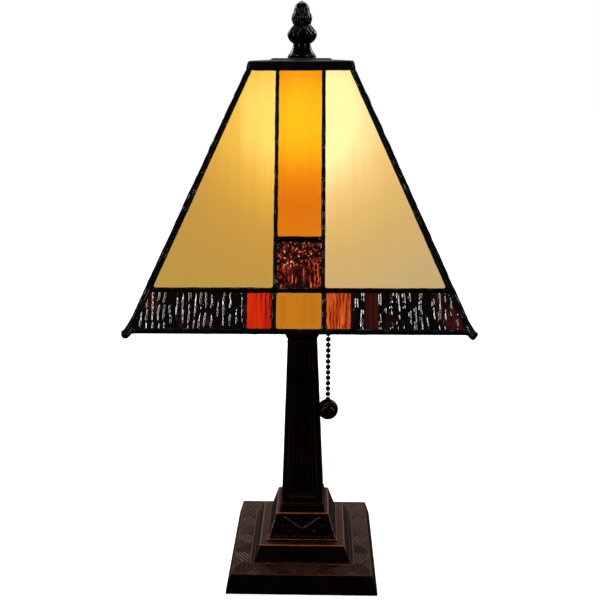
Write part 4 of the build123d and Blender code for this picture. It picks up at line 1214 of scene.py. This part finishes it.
def make_cap(material):
    """Pressed shade cap: a shallow tray with softened corners and a raised seat for the finial."""
    low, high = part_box("shade_cap")
    half, tall = high.x, high.z - low.z
    tray_half, tray_z, seat_half = half - CAP_INSET, low.z + 0.78 * tall, 0.56 * half
    skin = [
        (half, low.z),
        (half, low.z + 0.12 * tall),
        (tray_half, tray_z - 0.3 * MM),
        (seat_half + 0.4 * MM, tray_z + 0.5 * MM),
        (seat_half, high.z),
        (STUD_HOLE, high.z),
    ]
    under = [
        (STUD_HOLE, high.z - CAP_WALL),
        (seat_half - CAP_WALL, high.z - CAP_WALL),
        (seat_half - CAP_WALL, tray_z - CAP_WALL),
        (tray_half - CAP_WALL, tray_z - CAP_WALL),
        (half - CAP_WALL, low.z),
    ]
    rows = resampled(rounded([*rounded(skin, 1.5 * MM, 7), *under], 0.01 * MM), 1.0 * MM)

    def dents(*spot):
        return cast_grain(*spot, 0.1 * MM, 12 * MM, 35)

    shape = ring_shape(square_surface(rows, CAP_CORNER, 64, dents))
    place("shade_cap_tray", shape, "shade", "black_bronze", material, ["shade_cap"], sharp=50)


# ---------------- chain ----------------

def upright_axis(node):
    """Centre and radius of the upright round node, from its box."""
    low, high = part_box(node)
    return ((low.x + high.x) / 2, (low.y + high.y) / 2), (high.x - low.x) / 2


def make_beads(node, body, material, end_gap):
    """A run of chain beads, each a rolled ball, with the link wire showing between them."""
    low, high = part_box(node)
    centre, radius = upright_axis(node)
    radius += BEAD_SWELL
    first = low.z + radius + end_gap
    count = int((high.z - first) / BEAD_PITCH) + 1
    shape = Shape()
    for height in first + BEAD_PITCH * np.arange(count):
        shape.grid(turned(ball_profile(radius, height), 24, centre=centre), close_cols=True)
    for height in first + BEAD_PITCH * np.arange(count - 1):
        foot, tip = height + 0.9 * radius, height + BEAD_PITCH - 0.9 * radius
        wire = [(0, foot), (LINK_R, foot), (LINK_R, tip), (0, tip)]
        shape.grid(turned(wire, 10, centre=centre), close_cols=True)
    place(f"{node}_beads", shape, body, "black_bronze", material, [node])


def make_ball(material):
    """The ball at the end of the chain, with a small collar that holds the last bead."""
    low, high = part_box("chain_ball")
    centre, radius = upright_axis("chain_ball")
    ball = list(ball_profile(radius, low.z + radius, points=48))[:-3]
    collar = [
        (BALL_COLLAR + 0.5 * MM, ball[-1][1] + 0.3 * MM),
        (BALL_COLLAR, high.z - 0.5 * MM),
        (0.9 * MM, high.z),
        (0, high.z),
    ]
    shape = Shape()
    shape.grid(turned(rounded([*ball, *collar], 0.3 * MM), 64, centre=centre), close_cols=True)
    place("pull_ball", shape, "hanging_chain", "black_bronze", material, ["chain_ball"])


# ---------------- socket, bulb and cord ----------------

def make_spun(node, material, outline, corner, turns, relief=None):
    """A spun shell turned from the closed outline of its wall."""
    rows = resampled(rounded(outline, corner), 0.8 * MM)
    place(f"{node}_spun", ring_shape(turned(rows, turns, relief)), "stand", "brass", material, [node])


def make_socket_cap(material):
    """Brass cap of the socket, with a rolled bead at its seam."""
    low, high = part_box("socket_cap")
    radius = high.x
    outer = [
        (SOCKET_HUB, low.z),
        (0.55 * radius, low.z),
        (0.86 * radius, low.z + 3.0 * MM),
        (radius, low.z + 8.1 * MM),
        (radius, high.z - 1.6 * MM),
        (radius + SOCKET_BEAD, high.z - 0.9 * MM),
        (radius + SOCKET_BEAD, high.z - 0.2 * MM),
        (radius, high.z),
    ]
    inner = [(r - SOCKET_WALL, z + SOCKET_WALL * (z < high.z - 4 * MM)) for r, z in reversed(outer[1:])]
    make_spun("socket_cap", material, [*outer, *inner, (SOCKET_HUB, low.z + SOCKET_WALL)], 1.2 * MM, 96)


def make_socket_shell(material):
    """Brass shell of the socket, with a seam bead, a rolled rim and a fluted grip."""
    low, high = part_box("socket_shell")
    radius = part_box("socket_cap")[1].x
    tall = high.z - low.z
    outline = [
        (radius, low.z),
        (radius, low.z + 0.22 * tall),
        (radius + 0.35 * MM, low.z + 0.24 * tall),
        (radius, low.z + 0.26 * tall),
        (radius, high.z - 1.5 * MM),
        (radius + 0.4 * MM, high.z - 0.8 * MM),
        (radius, high.z),
        (radius - SOCKET_WALL, high.z),
        (radius - SOCKET_WALL, low.z),
    ]

    def flutes(angle, z):
        gripped = window((z - low.z) / tall, (0.45, 0.5), (0.88, 0.93))
        return -0.25 * MM * gripped * (0.5 + 0.5 * np.cos(GRIP_FLUTES * angle))

    make_spun("socket_shell", material, outline, 0.3 * MM, 216, flutes)


def make_envelope(material):
    """The bulb's glass: a thin closed skin inside and out."""
    rows = resampled(outer_profile("bulb_glass"), 1.2 * MM)
    top = rows[-1][1]
    inner = [(max(r - ENVELOPE_WALL, 0), z) for r, z in rows[::-1] if z < top - 1.5 * MM]
    shape = ring_shape(turned([*rows, (0.0, top - ENVELOPE_WALL), *inner], 72))
    place("bulb_envelope", shape, "bulb", "bulb_glass", material, ["bulb_glass"])


def make_screw_cap(material):
    """The bulb's cap, with its rolled thread."""
    low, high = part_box("bulb_cap")

    def thread(angle, z):
        threaded = window((z - low.z) / (high.z - low.z), (0.3, 0.36), (0.88, 0.94))
        return -THREAD_DEPTH * threaded * (0.5 - 0.5 * np.cos(2 * pi * z / THREAD_PITCH - angle))

    cap = turned(resampled(outer_profile("bulb_cap"), 0.35 * MM), 64, thread)
    floor_z = low.z + SCREW_FLOOR
    bore = turned([(SCREW_BORE, high.z), (SCREW_BORE, floor_z), (0, floor_z)], 64)
    shape = Shape()
    shape.grid(np.concatenate([turned([(0, low.z)], 64), cap, bore]), close_cols=True)
    place("bulb_screw_cap", shape, "bulb", "bulb_metal", material, ["bulb_cap"])


def cord_path():
    """The run of the flex: down the column, out at the back and along the table to the plug."""
    hole = middle("cord_bushing")
    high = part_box("power_cord")[1]
    bend = 7 * MM
    down = [(0, 0, z) for z in np.linspace(high.z, hole.z + bend, 40)]
    turn = [(0, bend - bend * cos(a), hole.z + bend - bend * sin(a)) for a in np.linspace(0, pi / 2, 8)]
    points = node_points("power_cord")
    wall_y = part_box("base_casting")[1].y
    path = [*down, *turn, (0, wall_y - 4 * MM, hole.z)]
    for y in np.arange(wall_y + 3 * MM, high.y, 4 * MM):
        near = points[np.abs(points[:, 1] - y) < 4.5 * MM][:, 2]
        if len(near):
            path.append((0, y, (near.min() + near.max()) / 2))
    return np.array([*path, (0, high.y, middle("plug_body").z)])


def make_cord(material):
    """Flat twin flex: two round cores side by side with a groove between them."""
    low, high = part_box("power_cord")
    half_wide = (high.x - low.x) / 2
    half_tall = 0.52 * half_wide
    angle = np.linspace(0, 2 * pi, 32, endpoint=False)
    groove = 1 - 0.45 * ridge(np.cos(angle), 0.22)
    section = np.stack([half_wide * np.cos(angle), 1.15 * half_tall * np.sin(angle) * groove], axis=-1)
    path = cord_path()
    for _ in range(3):
        path[1:-1] = (path[:-2] + 2 * path[1:-1] + path[2:]) / 4
    shape = Shape()
    shape.grid(swept(resampled(path, 2 * MM), section), close_cols=True, caps=True)
    place("twin_flex", shape, "stand", "cord_plastic", material, ["power_cord"], sharp=60)


def make_plug(material):
    """Moulded plug body with a soft outline and finger ridges."""
    low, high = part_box("plug_body")
    centre = middle("plug_body")
    share = np.concatenate([[0], np.linspace(0, 1, 64), [1]])
    ridges = np.cos(2 * pi * share * PLUG_RIDGES) * window(share, (0.18, 0.24), (0.62, 0.7))
    swell = 0.62 + 0.38 * smooth_step(share, -0.15, 0.55)
    half_wide, half_tall = (swell * half + PLUG_RIDGE * (ridges - 1) for half in (high - centre).xz)
    ends = np.ones(len(share))
    ends[[0, -1]] = 0.9
    outline = ring(40, power=0.45)
    x = centre.x + outline[:, 0] * (half_wide * ends)[:, None]
    z = centre.z + outline[:, 1] * (half_tall * ends)[:, None]
    y = np.broadcast_to((low.y + (high.y - low.y) * share)[:, None], x.shape)
    shape = Shape()
    shape.grid(np.stack([x, y, z], axis=-1), close_cols=True, caps=True)
    place("plug_moulding", shape, "stand", "cord_plastic", material, ["plug_body"])


# ---------------- CAD nodes that keep their shape ----------------

def dress_cad_nodes(brass, steel, solder, phenolic, rubber):
    iron = metal("cast_iron", (44, 44, 46), (78, 76, 74), (0.6, 0.85), 5 * MM, grain=0.3 * MM)
    dress(felt(), 0.3 * MM, "felt_pad")
    dress(iron, 0.6 * MM, "base_weight")
    dress(steel, 0.2 * MM, "base_washer", "base_nut", "column_nut", "threaded_rod", "harp_saddle")
    dress(steel, 0, "harp")
    dress(brass, 0.15 * MM, "harp_sleeves", "harp_stud", "terminal_screws", "screw_shell", "centre_contact")
    dress(brass, 0.15 * MM, "chain_guide", "plug_blades")
    dress(phenolic, 0.2 * MM, "socket_body", "switch_rotor")
    dress(fibre_paper(), 0, "socket_liner")
    dress(rubber, 0.4 * MM, "cord_bushing")
    dress(solder, 0.3 * MM, "crown_ring")
    dress(solder, 0.45 * MM, "rim_band")


# ---------------- stage ----------------

def make_floor():
    """A plain white table, far wider than the lamp, that stays dark in the lamp's reflections."""
    half = 6.0
    corners = [(-half, -half, 0), (half, -half, 0), (half, half, 0), (-half, half, 0)]
    mesh = bpy.data.meshes.new("floor")
    mesh.from_pydata(corners, [], [(0, 1, 2, 3)])
    shader = Shader("floor_paint", roughness=0.9, specular_ior_level=0.0)
    seen = shader.node("ShaderNodeLightPath").outputs["Is Camera Ray"]
    paint = shader.tint(shader.noise(0.35, detail=2), (236, 236, 235), (240, 240, 239))
    shader.set(base_color=shader.mix(seen, (0.04, 0.04, 0.04), paint), emission_color=(1, 1, 1))
    shader.set(emission_strength=shader.math("MULTIPLY", seen, 0.8))
    mesh.materials.append(shader.material)
    floor = bpy.data.objects.new("floor", mesh)
    bpy.context.collection.objects.link(floor)


def make_room():
    """White surroundings for the camera; in reflections, a room that is bright behind and dark in front."""
    world = bpy.data.worlds.new("studio")
    bpy.context.scene.world = world
    world.use_nodes = True
    nodes = Nodes(world.node_tree)
    direction = nodes.node("ShaderNodeTexCoord").outputs["Generated"]
    _, back, up = nodes.node("ShaderNodeSeparateXYZ", {0: direction}).outputs
    behind = nodes.math("MULTIPLY", nodes.levels(back, 0.0, 0.8), 0.55)
    above = nodes.math("MULTIPLY", nodes.levels(up, 0.5, 1.0), 0.3)
    room = nodes.math("ADD", nodes.math("ADD", behind, above), 0.02)
    seen = nodes.node("ShaderNodeLightPath").outputs["Is Camera Ray"]
    background = world.node_tree.nodes["Background"]
    nodes.feed(background.inputs["Color"], (1, 1, 1))
    nodes.feed(background.inputs["Strength"], nodes.blend(seen, room, 1.0))


def softbox(name, place_at, aim, size, power):
    light = bpy.data.lights.new(name, "AREA")
    light.shape = "RECTANGLE"
    light.size, light.size_y = size
    light.energy = power
    obj = bpy.data.objects.new(name, light)
    obj.location = place_at
    obj.rotation_euler = (Vector(aim) - Vector(place_at)).to_track_quat("-Z", "Y").to_euler()
    bpy.context.collection.objects.link(obj)


def softboxes(name, aim, distance, height, size, powers):
    """Boxes round the lamp, given as power by azimuth in degrees from the front."""
    for number, (azimuth, power) in enumerate(powers.items()):
        turn = radians(azimuth)
        softbox(f"{name}_{number}", (distance * sin(turn), -distance * cos(turn), height), aim, size, power)


def make_lights():
    """Narrow boxes that draw the ripples, low ones for the column's edges and a soft one above."""
    rim = middle("rim_band")
    softboxes("box", rim, 1.08, 0.87, (0.1, 0.4), {-40: 3.4, 46: 3.0, 135: 2.5, -135: 2.5})
    softboxes("edge", middle("column"), 0.9, 0.26, (0.06, 0.3), {-56: 0.9, 62: 0.7})
    softbox("top", (0.0, 0.5, 1.5), rim, (1.2, 0.8), 7)


def make_camera():
    camera = bpy.data.cameras.new("camera")
    camera.lens = CAMERA_LENS
    camera.sensor_width = 36
    obj = bpy.data.objects.new("camera", camera)
    obj.location = CAMERA_PLACE
    turn = Euler((0, 0, CAMERA_YAW)).to_matrix()
    tilt = Euler((pi / 2 - CAMERA_PITCH, 0, 0)).to_matrix()
    roll = Euler((0, 0, CAMERA_ROLL)).to_matrix()
    obj.rotation_euler = (turn @ tilt @ roll).to_euler()
    bpy.context.collection.objects.link(obj)
    bpy.context.scene.camera = obj
    bpy.context.scene.view_settings.view_transform = "Standard"


def main():
    # Each casting's third colour is painted light on its upward faces.
    bronze = worn_metal(
        "bronze_casting", (14, 8, 6), (30, 18, 12), (72, 46, 31), (176, 104, 68), rough=(0.36, 0.24), worn=0.9
    )
    dark_bronze = worn_metal(
        "column_bronze", (12, 8, 6), (30, 21, 15), (90, 62, 44), (92, 70, 56), rough=(0.34, 0.26), worn=0.4
    )
    black = worn_metal(
        "black_bronze", (7, 7, 7), (16, 15, 15), (18, 17, 16), (96, 90, 86), rough=(0.2, 0.16), worn=0.5
    )
    chain_black = metal("black_chain", (20, 13, 10), (44, 30, 22), (0.06, 0.14), 4 * MM)
    brass = metal("brass", (168, 128, 62), (214, 176, 100), (0.18, 0.36))
    steel = metal("plated_steel", (150, 150, 148), (196, 196, 192), (0.22, 0.42))
    bright = metal("bulb_metal", (176, 176, 174), (222, 222, 220), (0.16, 0.3), 4 * MM)
    copper = metal("tube_copper", (92, 46, 26), (168, 96, 60), (0.3, 0.5), 2 * MM)
    cap_paint = metal("cap_black", (4, 4, 4), (9, 9, 9), (0.25, 0.4), 8 * MM, 0.0, specular_ior_level=0.1)
    solder = patinated_solder()
    phenolic = moulded("phenolic", (12, 11, 11), (24, 22, 21), (0.25, 0.4))
    flex = moulded("cord_plastic", (36, 22, 15), (54, 34, 24), (0.4, 0.55))
    rubber = moulded("rubber", (12, 12, 12), (26, 26, 26), (0.7, 0.9), grain=0.12 * MM)

    make_panes()
    make_solder(solder)
    make_hip_tubes(solder, copper)
    make_base(bronze)
    make_column(dark_bronze)
    make_cap(cap_paint)
    make_finial(black)
    make_beads("pull_chain", "hanging_chain", chain_black, 0.5 * MM)
    make_beads("chain_connector", "chain_pull", chain_black, 0.0)
    make_ball(chain_black)
    make_socket_cap(brass)
    make_socket_shell(brass)
    make_envelope(frosted_bulb())
    make_screw_cap(bright)
    make_cord(flex)
    make_plug(flex)
    dress_cad_nodes(brass, steel, solder, phenolic, rubber)
    make_floor()
    make_room()
    make_lights()
    make_camera()


main()
